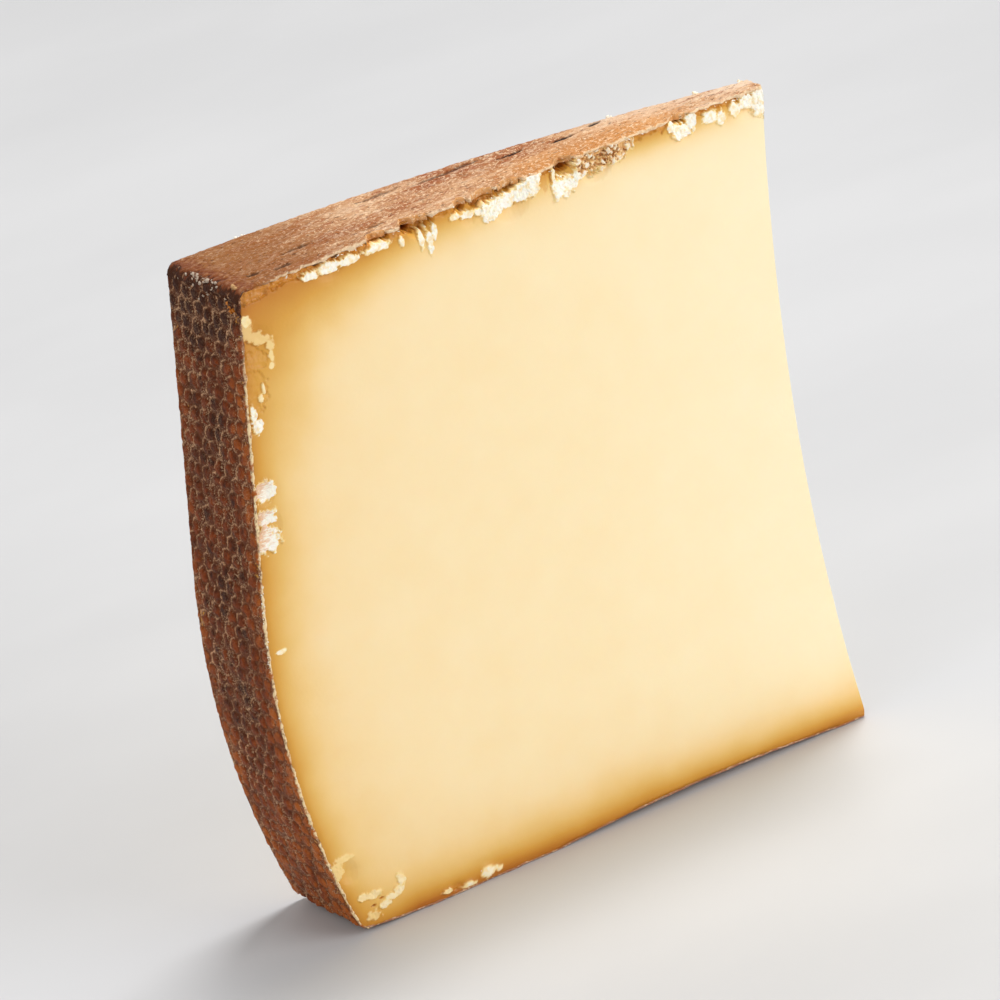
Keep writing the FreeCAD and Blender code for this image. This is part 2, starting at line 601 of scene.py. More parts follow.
@dataclass(frozen=True)
class PasteFinish:
    """Waxy paste: cream inside, amber under the rinds, white where it crumbles, with painted light and shade
    on the flaps and painted shade in the deepest hollows.
    """

    deepening: tuple[tuple[float, Colour], ...] = (
        (0.0, (255, 238, 200)),
        (0.15, (253, 231, 186)),
        (0.30, (250, 221, 167)),
        (0.45, (242, 205, 135)),
        (0.60, (230, 184, 98)),
        (0.75, (216, 158, 60)),
        (0.90, (198, 130, 34)),
        (1.0, (180, 104, 22)),
    )
    crumb: Colour = (255, 250, 236)
    crumb_shade: Colour = (251, 226, 180)
    butter: Colour = (249, 219, 152)
    # Pinkish beige of the flaps, partly their own tint and partly the painted shade on their shaded side.
    flap: Colour = (232, 188, 150)
    scab: Colour = (232, 176, 104)
    speck: Colour = (138, 70, 26)
    hollow: Colour = (214, 146, 56)
    # Dark amber of the deepest hollows: partly the paste's amber, partly painted shade that deepens with the
    # hollow.
    deep_hollow_amber_and_shade: Colour = (148, 76, 20)
    cloud_mm: float = 9.0
    roughness: float = 0.44

    def build(self) -> bpy.types.Material:
        """Makes the material."""
        bench = NodeBench("waxy_paste")
        clouds = bench.noise((self.cloud_mm,) * 3, detail=4.0, roughness=0.55)
        drift = bench.math("MULTIPLY_ADD", bench.math("SUBTRACT", clouds, 0.5), 0.14, bench.read("amber"))
        paste = bench.ramp(drift, self.deepening)
        hollow = bench.read("hollow")
        # Painted shade in the hollows: the deeper the hollow, the more of the dark amber.
        pocket_amber_and_shade = bench.blend(bench.span(hollow, 0.6, 1.15), self.hollow, self.deep_hollow_amber_and_shade)
        torn = bench.blend(bench.span(hollow, 0.05, 0.55, 0.0, 0.8), paste, pocket_amber_and_shade)
        fine = bench.noise((0.9, 0.9, 0.9), detail=4.0, roughness=0.6)
        flecked = bench.blend(bench.span(fine, 0.34, 0.56), self.crumb_shade, self.crumb)
        # Painted light and shade on the flaps: a slope stored by the paste whitens one side of each flap and
        # leaves the other side pinkish beige, under fine strands.
        flap_light_and_fibre = bench.read("flap_light_and_fibre")
        strands = bench.noise((1.3, 0.3, 0.26), detail=4.0, roughness=0.75)
        mat = bench.math("MULTIPLY_ADD", flap_light_and_fibre, 0.3, strands)
        flap_light_and_fibre = bench.blend(bench.span(mat, 0.36, 0.6), self.flap, self.crumb)
        raised = bench.blend(bench.read("flap"), flecked, flap_light_and_fibre)
        dots = bench.span(bench.noise((0.8, 0.6, 0.6), detail=3.0, roughness=0.6), 0.46, 0.39, 0.0, 0.95)
        raised = bench.blend(bench.math("MULTIPLY", bench.read("scab"), 0.9), raised, self.scab)
        raised = bench.blend(bench.math("MULTIPLY", dots, bench.read("scab")), raised, self.speck)
        buttery = bench.blend(bench.span(bench.read("crumb"), 0.0, 0.5), torn, self.butter)
        white = bench.blend(bench.span(bench.read("crumb"), 0.35, 0.95), buttery, raised)
        shine = bench.span(hollow, 0.1, 0.7, self.roughness, 0.24)
        dull = bench.math("ADD", shine, bench.math("MULTIPLY", bench.read("crumb"), 0.4), clamp=True)
        relief = bench.bump(bench.noise((0.5, 0.5, 0.5), detail=2.0), 0.018)
        return bench.finish(
            white,
            dull,
            relief,
            Specular_IOR_Level=0.4,
            Subsurface_Weight=0.16,
            Subsurface_Radius=(1.0, 0.62, 0.3),
            Subsurface_Scale=2.0 * MM,
        )


@dataclass(frozen=True)
class HeelFinish:
    """Smeared heel rind with the marks of the cloth: dark dimples in a netting of pale lines, partly the
    cloth's print and partly a painted highlight on one side of each dimple.
    """

    dark: Colour = (68, 31, 13)
    red: Colour = (142, 64, 20)
    amber: Colour = (186, 98, 34)
    groove: Colour = (104, 55, 27)
    # Pale lines of the cloth's print, laid on one side of each dimple only, so partly a painted highlight.
    net_and_highlight: Colour = (246, 194, 150)
    dust: Colour = (222, 182, 142)
    lip: Colour = (255, 228, 178)

    def build(self) -> bpy.types.Material:
        """Makes the material."""
        bench = NodeBench("cloth_marked_rind")
        patches = bench.noise((5.0, 4.0, 7.0), detail=4.0, roughness=0.65)
        warm = bench.math("MULTIPLY_ADD", bench.read("warmth"), 0.5, patches)
        skin = bench.ramp(warm, ((0.38, self.dark), (0.66, self.red), (0.95, self.amber)))
        between = bench.blend(bench.span(bench.read("dome"), 0.55, 0.05, 0.0, 0.75), skin, self.groove)
        wear = bench.noise((0.4, 0.4, 0.4), detail=4.0, roughness=0.75)
        # Painted highlight along with the cloth's pale lines: the stored number sits on one side of each
        # dimple.
        strength = bench.math("MULTIPLY", bench.read("net_and_highlight"), bench.span(wear, 0.40, 0.56, 0.1, 1.0))
        with_net_and_highlight = bench.blend(strength, between, self.net_and_highlight)
        speck = bench.span(bench.noise((0.3, 0.3, 0.3), detail=3.0, roughness=0.75), 0.53, 0.62)
        patch = bench.span(bench.noise((4.0, 3.0, 6.0), detail=3.0), 0.40, 0.62, 0.1, 0.85)
        where = bench.math("MULTIPLY", patch, bench.span(bench.read("dome"), 0.9, 0.3, 0.3, 1.0))
        dusty = bench.blend(bench.math("MULTIPLY", speck, where), with_net_and_highlight, self.dust)
        torn = bench.span(bench.noise((0.5, 0.5, 0.9), detail=4.0, roughness=0.7), 0.40, 0.52, 0.25, 1.0)
        edged = bench.blend(bench.math("MULTIPLY", bench.read("lip"), torn), dusty, self.lip)
        relief = bench.bump(bench.noise((0.35, 0.35, 0.35), detail=4.0, roughness=0.75), 0.22)
        shine = bench.span(bench.read("net_and_highlight"), 0.1, 0.7, 0.55, 0.8)
        return bench.finish(edged, shine, relief, Specular_IOR_Level=0.18)


@dataclass(frozen=True)
class CrustFinish:
    """Brushed outer rind of the flat faces: grainy tan with beige flecks, russet stains, dark pits and
    near-black splits, the splits partly painted shade.
    """

    tan: Colour = (174, 112, 66)
    pale: Colour = (210, 160, 116)
    beige: Colour = (232, 202, 174)
    gold: Colour = (218, 148, 74)
    olive: Colour = (146, 92, 42)
    russet: Colour = (154, 76, 36)
    stain: Colour = (118, 54, 22)
    rim: Colour = (66, 34, 15)
    pit: Colour = (62, 28, 14)
    # Near-black of the splits: partly their own dark, partly painted shade in them.
    split: Colour = (40, 18, 10)
    fleck: Colour = (244, 212, 174)
    lip: Colour = (255, 230, 190)

    def build(self, name: str) -> bpy.types.Material:
        """Makes the material under a name."""
        bench = NodeBench(name)
        broad = bench.noise((12.0, 3.5, 6.0), detail=4.0, roughness=0.6)
        tone = bench.math("MULTIPLY_ADD", bench.math("SUBTRACT", broad, 0.5), 1.1, bench.read("tone"))
        grounds = ((0.15, self.russet), (0.38, self.tan), (0.62, self.pale), (0.9, self.beige))
        ground = bench.ramp(tone, grounds)
        streak = bench.noise((2.6, 0.8, 0.9), detail=4.0, roughness=0.65)
        streaked = bench.blend(bench.span(streak, 0.50, 0.66, 0.0, 0.5), ground, self.beige)
        shaded = bench.blend(bench.span(streak, 0.47, 0.32, 0.0, 0.7), streaked, self.russet)
        aged = bench.blend(bench.read("age"), shaded, self.olive)
        shaded = bench.blend(bench.read("gold"), aged, self.gold)
        sand = bench.noise((0.6, 0.42, 0.42), detail=4.0, roughness=0.7)
        young = bench.span(bench.read("age"), 0.0, 0.8, 1.0, 0.3)
        light = bench.math("MULTIPLY", bench.span(sand, 0.52, 0.62, 0.0, 0.85), young)
        flecked = bench.blend(light, shaded, self.fleck)
        grit = bench.noise((1.3, 0.42, 0.5), detail=4.0, roughness=0.7, warp=0.4)
        pitted = bench.blend(bench.span(grit, 0.44, 0.33, 0.0, 0.7), flecked, self.pit)
        stained = bench.blend(bench.span(bench.read("rim"), 0.0, 0.55, 0.0, 0.85), pitted, self.stain)
        rimmed = bench.blend(bench.span(bench.read("rim"), 0.4, 1.0, 0.0, 0.9), stained, self.rim)
        # Painted shade in the splits, along with their own dark: the stored number grows with each split's
        # depth.
        broken = bench.blend(bench.read("crack_and_shade"), rimmed, self.split)
        lipped = bench.blend(bench.read("lip"), broken, self.lip)
        relief = bench.bump(bench.math("ADD", sand, bench.math("MULTIPLY", grit, 0.6)), 0.22)
        return bench.finish(lipped, 0.7, relief, Specular_IOR_Level=0.18)


@dataclass(frozen=True)
class CrumbFinish:
    """Dry crumbs and curls of torn paste, from white to cream."""

    white: Colour = (255, 250, 236)
    cream: Colour = (253, 228, 180)

    def build(self) -> bpy.types.Material:
        """Makes the material."""
        bench = NodeBench("dry_crumb")
        tone = bench.noise((0.9, 0.9, 0.9), detail=3.0)
        colour = bench.blend(bench.span(tone, 0.36, 0.52), self.cream, self.white)
        relief = bench.bump(bench.noise((0.3, 0.3, 0.3), detail=3.0), 0.02)
        return bench.finish(colour, 0.85, relief, Specular_IOR_Level=0.2)


@dataclass(frozen=True)
class RimBitFinish:
    """Bits on the rim: grey mould, beige smear and amber drops, told apart by a stored number."""

    tints: tuple[tuple[float, Colour], ...] = (
        (0.0, (196, 176, 156)),
        (0.4, (192, 148, 96)),
        (1.0, (206, 122, 32)),
    )
    spot: Colour = (92, 56, 34)

    def build(self) -> bpy.types.Material:
        """Makes the material."""
        bench = NodeBench("rim_bits")
        tint = bench.ramp(bench.read("tint"), self.tints)
        spots = bench.span(bench.noise((0.3, 0.3, 0.3)), 0.56, 0.68, 0.0, 0.5)
        spotted = bench.blend(spots, tint, self.spot)
        shine = bench.span(bench.read("tint"), 0.4, 1.0, 0.7, 0.3)
        return bench.finish(spotted, shine, Specular_IOR_Level=0.4)


# ---------------------------------------------------------------------------------------- the paste


class Tear(Enum):
    """What the knife and the break left in the front cut."""

    HOLLOW = "hollow"
    CRUMBLE = "crumble"
    FLAKE = "flake"
    SCAB = "scab"


@dataclass(frozen=True)
class Mark:
    """One torn place of the front cut, in millimetres."""

    kind: Tear
    along: float
    height: float
    wide: float
    tall: float
    relief: float
    white: float = 1.0


H, C, F, S = Tear.HOLLOW, Tear.CRUMBLE, Tear.FLAKE, Tear.SCAB

UPPER_MARKS = (
    Mark(H, 15.0, 110.5, 4.2, 1.2, 0.6),
    Mark(H, 20.2, 110.7, 4.8, 1.2, 0.6),
    Mark(H, 26.2, 111.3, 3.8, 2.1, 1.3),
    Mark(C, 13.4, 109.3, 3.0, 1.4, 0.32, 0.85),
    Mark(C, 16.8, 109.4, 4.4, 1.8, 0.34, 0.9),
    Mark(C, 20.4, 109.5, 4.0, 1.3, 0.32, 0.85),
    Mark(C, 26.0, 109.8, 4.6, 1.4, 0.34, 0.9),
    Mark(C, 30.3, 109.3, 0.9, 1.8, 0.3, 0.8),
    Mark(H, 32.1, 111.4, 3.2, 2.4, 2.6, 1.2),
    Mark(H, 34.0, 110.7, 4.6, 2.0, 0.9),
    Mark(C, 33.9, 108.4, 0.9, 3.2, 0.25, 0.8),
    Mark(C, 35.3, 107.4, 1.0, 4.6, 0.3, 0.9),
    Mark(C, 36.4, 109.0, 1.1, 2.4, 0.3, 0.9),
    Mark(H, 42.0, 111.3, 2.6, 1.8, 1.1),
    Mark(H, 38.4, 111.7, 3.4, 1.0, 0.5),
    Mark(C, 40.6, 110.0, 2.4, 1.2, 0.3, 0.8),
    Mark(C, 42.9, 109.6, 2.4, 1.2, 0.3, 0.85),
    Mark(C, 44.9, 109.3, 1.5, 1.1, 0.3, 0.8),
    Mark(H, 46.2, 111.2, 4.4, 2.6, 1.1),
    Mark(H, 51.2, 111.8, 4.8, 1.8, 1.0),
    Mark(C, 47.2, 108.9, 4.0, 3.2, 0.5),
    Mark(C, 50.0, 109.4, 3.6, 2.2, 0.4),
    Mark(C, 53.0, 109.7, 3.8, 2.6, 0.45),
    Mark(C, 55.2, 110.8, 3.0, 3.8, 0.5),
    Mark(H, 57.3, 110.8, 2.4, 4.2, 0.08, 0.8),
    Mark(C, 59.5, 110.6, 0.8, 3.0, 0.25, 0.7),
    Mark(C, 60.9, 108.3, 4.6, 3.2, 0.5),
    Mark(C, 64.2, 109.4, 2.4, 1.8, 0.34),
    Mark(H, 61.8, 111.6, 3.6, 2.4, 1.7),
    Mark(S, 65.4, 111.0, 4.2, 3.6, 0.42, 0.85),
    Mark(S, 68.0, 110.9, 4.6, 4.6, 0.5, 0.85),
    Mark(S, 71.0, 110.9, 4.4, 3.8, 0.46, 0.85),
    Mark(S, 73.4, 111.7, 3.4, 2.8, 0.4, 0.85),
    Mark(H, 66.3, 112.0, 0.9, 0.7, 1.2),
    Mark(H, 68.9, 110.9, 0.9, 0.6, 1.1),
    Mark(H, 67.9, 112.7, 1.0, 0.6, 1.1),
    Mark(H, 71.1, 112.4, 0.9, 0.5, 1.0),
    Mark(H, 80.6, 112.2, 2.0, 2.2, 0.3, 1.0),
    Mark(H, 84.0, 112.4, 3.6, 1.6, 1.0),
    Mark(C, 82.3, 111.3, 1.5, 1.8, 0.3),
    Mark(C, 84.2, 110.2, 4.0, 2.4, 0.5),
    Mark(C, 86.2, 111.2, 2.0, 3.0, 0.34),
    Mark(H, 90.6, 112.2, 5.0, 1.2, 0.5),
    Mark(C, 89.8, 110.8, 3.4, 1.8, 0.34, 0.9),
    Mark(C, 91.9, 110.2, 1.8, 2.2, 0.32, 0.85),
    Mark(C, 94.6, 110.5, 2.2, 2.2, 0.32, 0.85),
    Mark(H, 96.2, 112.6, 3.4, 1.4, 0.6),
    Mark(C, 97.2, 110.9, 3.0, 2.2, 0.4),
    Mark(C, 99.6, 110.3, 3.2, 5.0, 0.4),
)

HEEL_MARKS = (
    Mark(H, 2.6, 109.4, 6.6, 2.0, 0.45, 1.3),
    Mark(H, 8.6, 110.4, 6.6, 1.6, 0.45, 1.3),
    Mark(C, 1.0, 105.9, 1.7, 1.6, 0.15, 0.55),
    Mark(C, 0.9, 104.3, 2.6, 2.8, 0.05, 0.3),
    Mark(C, 2.0, 103.1, 3.0, 1.7, 0.05, 0.3),
    Mark(C, 3.3, 102.0, 2.8, 1.5, 0.05, 0.32),
    Mark(C, 4.5, 100.8, 1.4, 1.8, 0.05, 0.36),
    Mark(C, 4.5, 99.2, 0.8, 2.2, 0.05, 0.42),
    Mark(C, 4.2, 97.6, 0.8, 1.3, 0.06, 0.5),
    Mark(H, 1.6, 99.2, 4.0, 3.0, 0.2, 0.25),
    Mark(H, 0.8, 95.0, 3.4, 7.0, 0.2, 0.25),
    Mark(C, 2.1, 94.4, 0.5, 1.6, 0.15, 0.6),
    Mark(C, 1.4, 93.2, 1.0, 1.4, 0.15, 0.6),
    Mark(C, -0.3, 91.0, 1.0, 2.6, 0.25),
    Mark(C, 0.0, 88.9, 2.0, 2.6, 0.3),
    Mark(F, -0.8, 78.3, 3.5, 3.2, 0.4),
    Mark(F, -1.3, 74.0, 3.6, 2.8, 0.4),
    Mark(F, -1.8, 70.6, 4.4, 4.2, 0.5),
    Mark(C, -2.7, 52.0, 1.8, 0.8, 0.2, 0.7),
    Mark(C, 1.9, 14.2, 3.2, 1.2, 0.15, 0.35),
    Mark(C, 0.4, 12.6, 2.4, 3.0, 0.2, 0.35),
    Mark(C, 4.0, 6.4, 1.9, 1.4, 0.25, 0.5),
    Mark(C, 6.3, 6.2, 2.6, 1.2, 0.25, 0.5),
    Mark(C, 7.9, 3.9, 2.2, 1.4, 0.3, 0.6),
    Mark(C, 9.4, 4.7, 2.4, 1.1, 0.3, 0.6),
    Mark(C, 11.5, 7.0, 1.7, 2.2, 0.3, 0.6),
    Mark(C, 10.7, 5.4, 2.0, 1.5, 0.3, 0.6),
    Mark(C, 5.6, 2.7, 2.4, 1.8, 0.2, 0.35),
    Mark(H, 5.9, 4.3, 1.0, 0.4, 0.9),
    Mark(H, 7.5, 5.0, 0.9, 0.4, 0.9),
    Mark(C, 19.6, 1.4, 2.2, 0.9, 0.3, 0.5),
    Mark(C, 23.8, 1.0, 2.6, 0.8, 0.35, 0.7),
    Mark(C, 27.5, 1.8, 2.4, 2.0, 0.35, 0.7),
    Mark(C, 29.6, 1.6, 1.4, 1.0, 0.3, 0.6),
    Mark(H, 21.4, 1.4, 2.2, 1.2, 0.4),
)


def arch_depth(along: np.ndarray) -> np.ndarray:
    """How far the upper rind's front edge stands back over the deep hollows.

    Args:
        along: Places along the edge.

    Returns:
        The depth for each place.
    """
    depth = np.zeros(len(along))
    for mark in UPPER_MARKS:
        if mark.kind is Tear.HOLLOW and mark.relief >= 0.9 and mark.wide > 2:
            share = np.clip(1 - ((along - mark.along) / (mark.wide / 2 + 0.2)) ** 2, 0, 1)
            depth = np.maximum(depth, min(mark.relief, 1.7) * share)
    return depth


@dataclass
class PasteCore:
    """The body of the wedge: the cut paste, torn along its upper and heel edges."""

    form: CheeseForm
    finish: PasteFinish = field(default_factory=PasteFinish)
    cell: float = 0.85
    torn_cuts: int = 3
    upper_band: float = 8.5
    heel_band: float = 6.0
    foot_band: tuple[float, float] = (17.0, 9.0)
    band_depth: float = 1.0
    bite_depth: float = 3.0
    bite_fill: float = 0.6
    rind_inset: float = 0.4
    tip_reach: float = 4.0
    snap_share: float = 0.72
    merged_share: float = 0.2
    highest: float = 0.5
    marks: tuple[Mark, ...] = UPPER_MARKS + HEEL_MARKS

    def __post_init__(self) -> None:
        """Reads the CAD's curves once."""
        self.heel_x = self.form.heel_curve()
        self.upper_z = self.form.upper_curve()
        self.lower_z = self.form.lower_curve()
        self.origin_x = self.form.origin_x

    def build(self) -> bpy.types.Object:
        """Builds and dresses the paste.

        Returns:
            The finished piece.
        """
        piece = cad_copy("paste_core")
        remesh(piece, self.cell)
        self.sharpen_tip(piece)
        refine(piece, self.in_torn_band, self.torn_cuts)
        refine(piece, self.in_mark, 1)
        self.set_under_rinds(piece)
        self.tear(piece)
        self.deepen(piece)
        return dress(piece, self.finish.build(), Slot.PASTE)

    def in_torn_band(self, centres: np.ndarray, facing: np.ndarray) -> np.ndarray:
        """Says which faces lie along the torn edges.

        Args:
            centres: The faces' centres.
            facing: Their normals.

        Returns:
            True for each face to refine.
        """
        x, y, z = centres.T
        under_top = self.upper_z(x) - z < self.upper_band
        behind_heel = x - self.heel_x(z) < self.heel_band
        at_foot = (x - self.heel_x(z) < self.foot_band[0]) & (z < self.foot_band[1])
        return self.on_front(y, facing[:, 1]) & (under_top | behind_heel | at_foot)

    def in_mark(self, centres: np.ndarray, facing: np.ndarray) -> np.ndarray:
        """Says which faces lie in a torn place.

        Args:
            centres: The faces' centres.
            facing: Their normals.

        Returns:
            True for each face to refine.
        """
        x, y, z = centres.T
        chosen = np.zeros(len(x), dtype=bool)
        for mark in self.marks:
            across = (x - self.origin_x - mark.along) / (mark.wide / 2 + 0.2)
            up = (z - mark.height) / (mark.tall / 2 + 0.2)
            chosen |= across**2 + up**2 < 1.5
        return chosen & self.on_front(y, facing[:, 1])

    def on_front(self, y: np.ndarray, facing_y: np.ndarray) -> np.ndarray:
        """Says what belongs to the front cut or to the floor of a bite in it.

        Args:
            y: Depths.
            facing_y: The normals' y.

        Returns:
            True for each place that does.
        """
        depth = y - self.form.front
        return (depth < self.band_depth) | ((depth < self.bite_depth) & (facing_y < -0.3))

    def sharpen_tip(self, piece: bpy.types.Object) -> None:
        """Lays the tip's vertices on the CAD surface, and those beside its long edges on the edges."""
        places = corners(piece)
        for number in np.flatnonzero(places[:, 0] > self.form.high.x - self.tip_reach):
            found, place, _, _ = self.form.solid.closest_point_on_mesh(Vector(places[number]) * MM)
            if found:
                places[number] = place / MM
        x, y, z = places.T
        at_edge = np.zeros(len(x), dtype=bool)
        heights = np.linspace(self.form.low.z + 1.5, self.form.high.z - 2.5, 90)
        near, far = self.form.front + 0.03, self.form.front + 3.0
        front_x = np.array([self.form.right_x(near, h) for h in heights])
        back_y = np.array([self.form.back_y(tip - 0.25, h) for tip, h in zip(front_x, heights)])
        back_x = np.array([self.form.right_x(min(back - 0.06, far), h) for back, h in zip(back_y, heights)])
        for edge_x, edge_y in (
            (np.interp(z, heights, front_x), np.full(len(z), self.form.front)),
            (np.interp(z, heights, back_x), np.interp(z, heights, back_y)),
        ):
            between = (z > self.lower_z(x) + 1) & (z < self.upper_z(x) - 1)
            close = (np.hypot(x - edge_x, y - edge_y) < self.cell * self.snap_share) & between
            places[close, 0], places[close, 1] = edge_x[close], edge_y[close]
            at_edge |= close
        set_corners(piece, places)
        store(piece, "tip_edge", at_edge)
        merge_close(piece, self.cell * self.merged_share)
        kept = np.empty(len(piece.data.vertices))
        piece.data.attributes["tip_edge"].data.foreach_get("value", kept)
        ends = np.empty(len(piece.data.edges) * 2, dtype=int)
        piece.data.edges.foreach_get("vertices", ends)
        ends = ends.reshape(-1, 2)
        places = corners(piece)
        upright = np.abs(places[ends[:, 0], 2] - places[ends[:, 1], 2]) > 0.6 * np.linalg.norm(
            places[ends[:, 0]] - places[ends[:, 1]], axis=1
        )
        piece.data.edges.foreach_set("use_edge_sharp", (kept[ends].min(axis=1) > 0.5) & upright)

    def set_under_rinds(self, piece: bpy.types.Object) -> None:
        """Draws the paste in under the three rinds."""
        x, y, z = corners(piece).T
        x = np.maximum(x, self.heel_x(z) + self.rind_inset)
        z = np.minimum(z, self.upper_z(x) - self.rind_inset)
        z = np.maximum(z, self.lower_z(x) + 0.3)
        middle_x, middle_z = self.origin_x + CORNER_IN, self.form.high.z - CORNER_DOWN
        middle = self.form.inside_corner(self.form.front + 2.0)
        turns = np.radians(np.linspace(95, 175, 17))
        rim = np.array([(turn, (self.form.rim_at(turn) - middle).length) for turn in turns])
        turn, reach = np.arctan2(z - middle_z, x - middle_x), np.hypot(z - middle_z, x - middle_x)
        limit = np.interp(turn, rim[:, 0], rim[:, 1]) - self.rind_inset - 0.15
        cut = (turn > rim[0, 0]) & (turn < rim[-1, 0]) & (reach > limit)
        x = np.where(cut, middle_x + limit * np.cos(turn), x)
        z = np.where(cut, middle_z + limit * np.sin(turn), z)
        set_corners(piece, np.column_stack((x, y, z)))

    def tear(self, piece: bpy.types.Object) -> None:
        """Presses the torn places into the front cut and raises the crumbs along them."""
        places = corners(piece)
        x, y, z = places.T
        depth = y - self.form.front
        in_bite = smooth_step(-0.15, -0.45, normals(piece)[:, 1])
        in_bite = in_bite * smooth_step(self.bite_depth + 0.5, self.bite_depth, depth)
        skin = np.maximum(smooth_step(1.1, 0.5, depth), in_bite)
        rough = grain(places, 0.9, 5, 11)
        broad = grain(places, 2.2, 3, 12)
        nibble = 0.38 * np.clip(rough, -0.75, 1.2) + 0.2 * np.clip(broad, -0.6, 1)
        curd = np.abs(grain(places, 1.25, 4, 13))
        fuzz = grain(places, 0.42, 4, 14)
        hollow, crumb, sunk, raised, flap, flap_light_and_fibre, scab, fill = np.zeros((8, len(x)))
        for mark in self.marks:
            across = (x - self.origin_x - mark.along) / (mark.wide / 2)
            up = (z - mark.height) / (mark.tall / 2)
            if mark.kind is Tear.HOLLOW:
                reach = 1.16 - np.hypot(across, up) + 1.15 * nibble
                share = smooth_step(0.0, 0.3, reach)
                sunk = np.maximum(sunk, share * mark.relief * (1 + 0.5 * rough))
                # This number grows with the hollow's depth, so deeper hollows get more of the finish's
                # painted shade.
                hollow = np.maximum(hollow, share * mark.white * min(1.2, 0.35 + 0.5 * mark.relief))
                continue
            reach = 1.22 - np.hypot(across, up) + nibble
            share = smooth_step(0.0, 0.25, reach)
            crumb = np.maximum(crumb, mark.white * smooth_step(-0.05, 0.45, reach + 0.25 * fuzz))
            if mark.kind is Tear.FLAKE:
                lifted = share * mark.relief * (0.5 + 0.4 * smooth_step(-1.0, 0.9, across) + 0.22 * fuzz)
                flap = np.where(lifted > raised, share, flap)
                # Painted light on the flaps: this number rises towards +X and downwards, so the finish paints
                # that side white and the other side pinkish beige as painted shade.
                flap_light_and_fibre = np.where(lifted > raised, 0.6 * across - 0.4 * up, flap_light_and_fibre)
                raised = np.maximum(raised, lifted)
                continue
            raised = np.maximum(raised, share * mark.relief * (0.5 + 0.9 * curd))
            fill = np.maximum(fill, share * self.bite_fill)
            if mark.kind is Tear.SCAB:
                scab = np.maximum(scab, share * (1 - 0.75 * smooth_step(0.26, 0.44, curd + 0.1 * fuzz)))
                sunk = np.maximum(sunk, share * 0.6 * smooth_step(0.16, 0.02, curd))
        raised = np.minimum(raised, self.highest)
        under_lip = self.upper_z(x) - z
        tall = 1.25 + 1.5 * grain(on_axis(x, 0), 3.2, 4, 15) + 0.4 * rough
        step = smooth_step(0.0, 0.22, tall - under_lip)
        sunk = np.maximum(sunk, step * 0.42 * (1 + 0.6 * rough))
        hollow = np.maximum(hollow, step * (0.34 + 0.2 * broad))
        arch = arch_depth(x - self.origin_x)
        below = smooth_step(0.0, 0.5, 1.1 + 0.4 * arch + 0.4 * rough - under_lip)
        sunk = np.maximum(sunk, below * (arch * 1.1 + 0.3 * smooth_step(0.0, 0.3, arch)))
        # Under the arches it also grows with the arch's depth, which gives more painted shade there.
        hollow = np.maximum(hollow, below * np.minimum(0.3 + 0.5 * arch, 1.15) * smooth_step(0.0, 0.3, arch))
        hollow *= 1 - crumb
        behind = x - self.heel_x(z)
        ripple = 0.05 * grain(places, (14, 14, 9), 2, 21)
        kept = np.maximum(1 - 2 * crumb, scab)
        y = y + skin * (sunk * np.clip(kept, 0, 1) - raised - fill * np.clip(depth, 0, None))
        y = y + ripple * skin * smooth_step(0, 6, behind)
        set_corners(piece, np.column_stack((x, y, z)))
        for name, values in (("hollow", hollow), ("crumb", crumb), ("flap", flap), ("scab", scab)):
            store(piece, name, values * skin)
        store(piece, "flap_light_and_fibre", flap_light_and_fibre)

    def deepen(self, piece: bpy.types.Object) -> None:
        """Stores how far the paste has darkened towards the rinds, over a tone that deepens towards the heel
        and is partly painted shade.
        """
        places = corners(piece)
        x, _, z = places.T
        along = x - self.origin_x
        wander = 1 + 0.22 * grain(places, (16, 16, 16), 3, 31)
        behind = np.interp(z, (0, 20, 50, 75, 112), (4.4, 4.8, 5.0, 6.2, 6.0)) * wander
        heel = 0.86 * np.exp(-np.maximum(x - self.heel_x(z), 0) / behind)
        reach = np.interp(along, (0, 8, 15, 25, 35, 60, 100), (13.5, 11.5, 8.4, 6.4, 4.5, 3.8, 3.2)) * wander
        upper = 0.97 * np.exp(-((np.maximum(self.upper_z(x) - z, 0) / reach) ** 1.4))
        foot = np.interp(along, (0, 6, 14, 60, 104), (0.55, 0.66, 0.98, 0.96, 0.92))
        lower_reach = np.interp(along, (0, 30, 104), (4.9, 5.0, 5.2)) * wander
        lower = foot * np.exp(-np.maximum(z - 1.0, 0) / lower_reach)
        edge = 1 - (1 - heel) * (1 - upper) * (1 - np.clip(lower, 0, 0.98))
        # A tone over the whole cut that deepens towards the heel: partly the paste's own amber, partly
        # painted shade on the side away from the light.
        ground = np.interp(along, (0, 20, 60, 96), (0.26, 0.23, 0.165, 0.04))
        store(piece, "amber", ground + (1 - ground) * edge)


# ---------------------------------------------------------------------------------------- the rinds


def round_the_edges(
    share: np.ndarray, width: np.ndarray, front_drop: np.ndarray, back_drop: np.ndarray, radius: float
) -> tuple[np.ndarray, np.ndarray]:
    """Leads a line across a face of the wedge and round its two long edges.

    Args:
        share: Places along the line, from 0 at its front end to 1 at its back end.
        width: The face's width.
        front_drop: How far the line goes on past the front edge's rounding.
        back_drop: How far it goes on past the back edge's rounding.
        radius: The roundings' radius.

    Returns:
        How far each place is behind the front edge, and how far under the face.
    """
    arc = radius * math.pi / 2
    flat = width - 2 * radius
    run = share * (front_drop + back_drop + 2 * arc + flat)
    rise = run - front_drop
    level = rise - arc
    fall = level - flat
    first = np.clip(rise / radius, 0, math.pi / 2)
    last = np.clip(fall / radius, 0, math.pi / 2)
    across = radius * (1 - np.cos(first)) + np.clip(level, 0, flat) + radius * np.sin(last)
    under = radius * (1 - np.sin(first)) + radius * (1 - np.cos(last))
    under += np.clip(-rise, 0, None) + np.clip(fall - arc, 0, None)
    return across, under


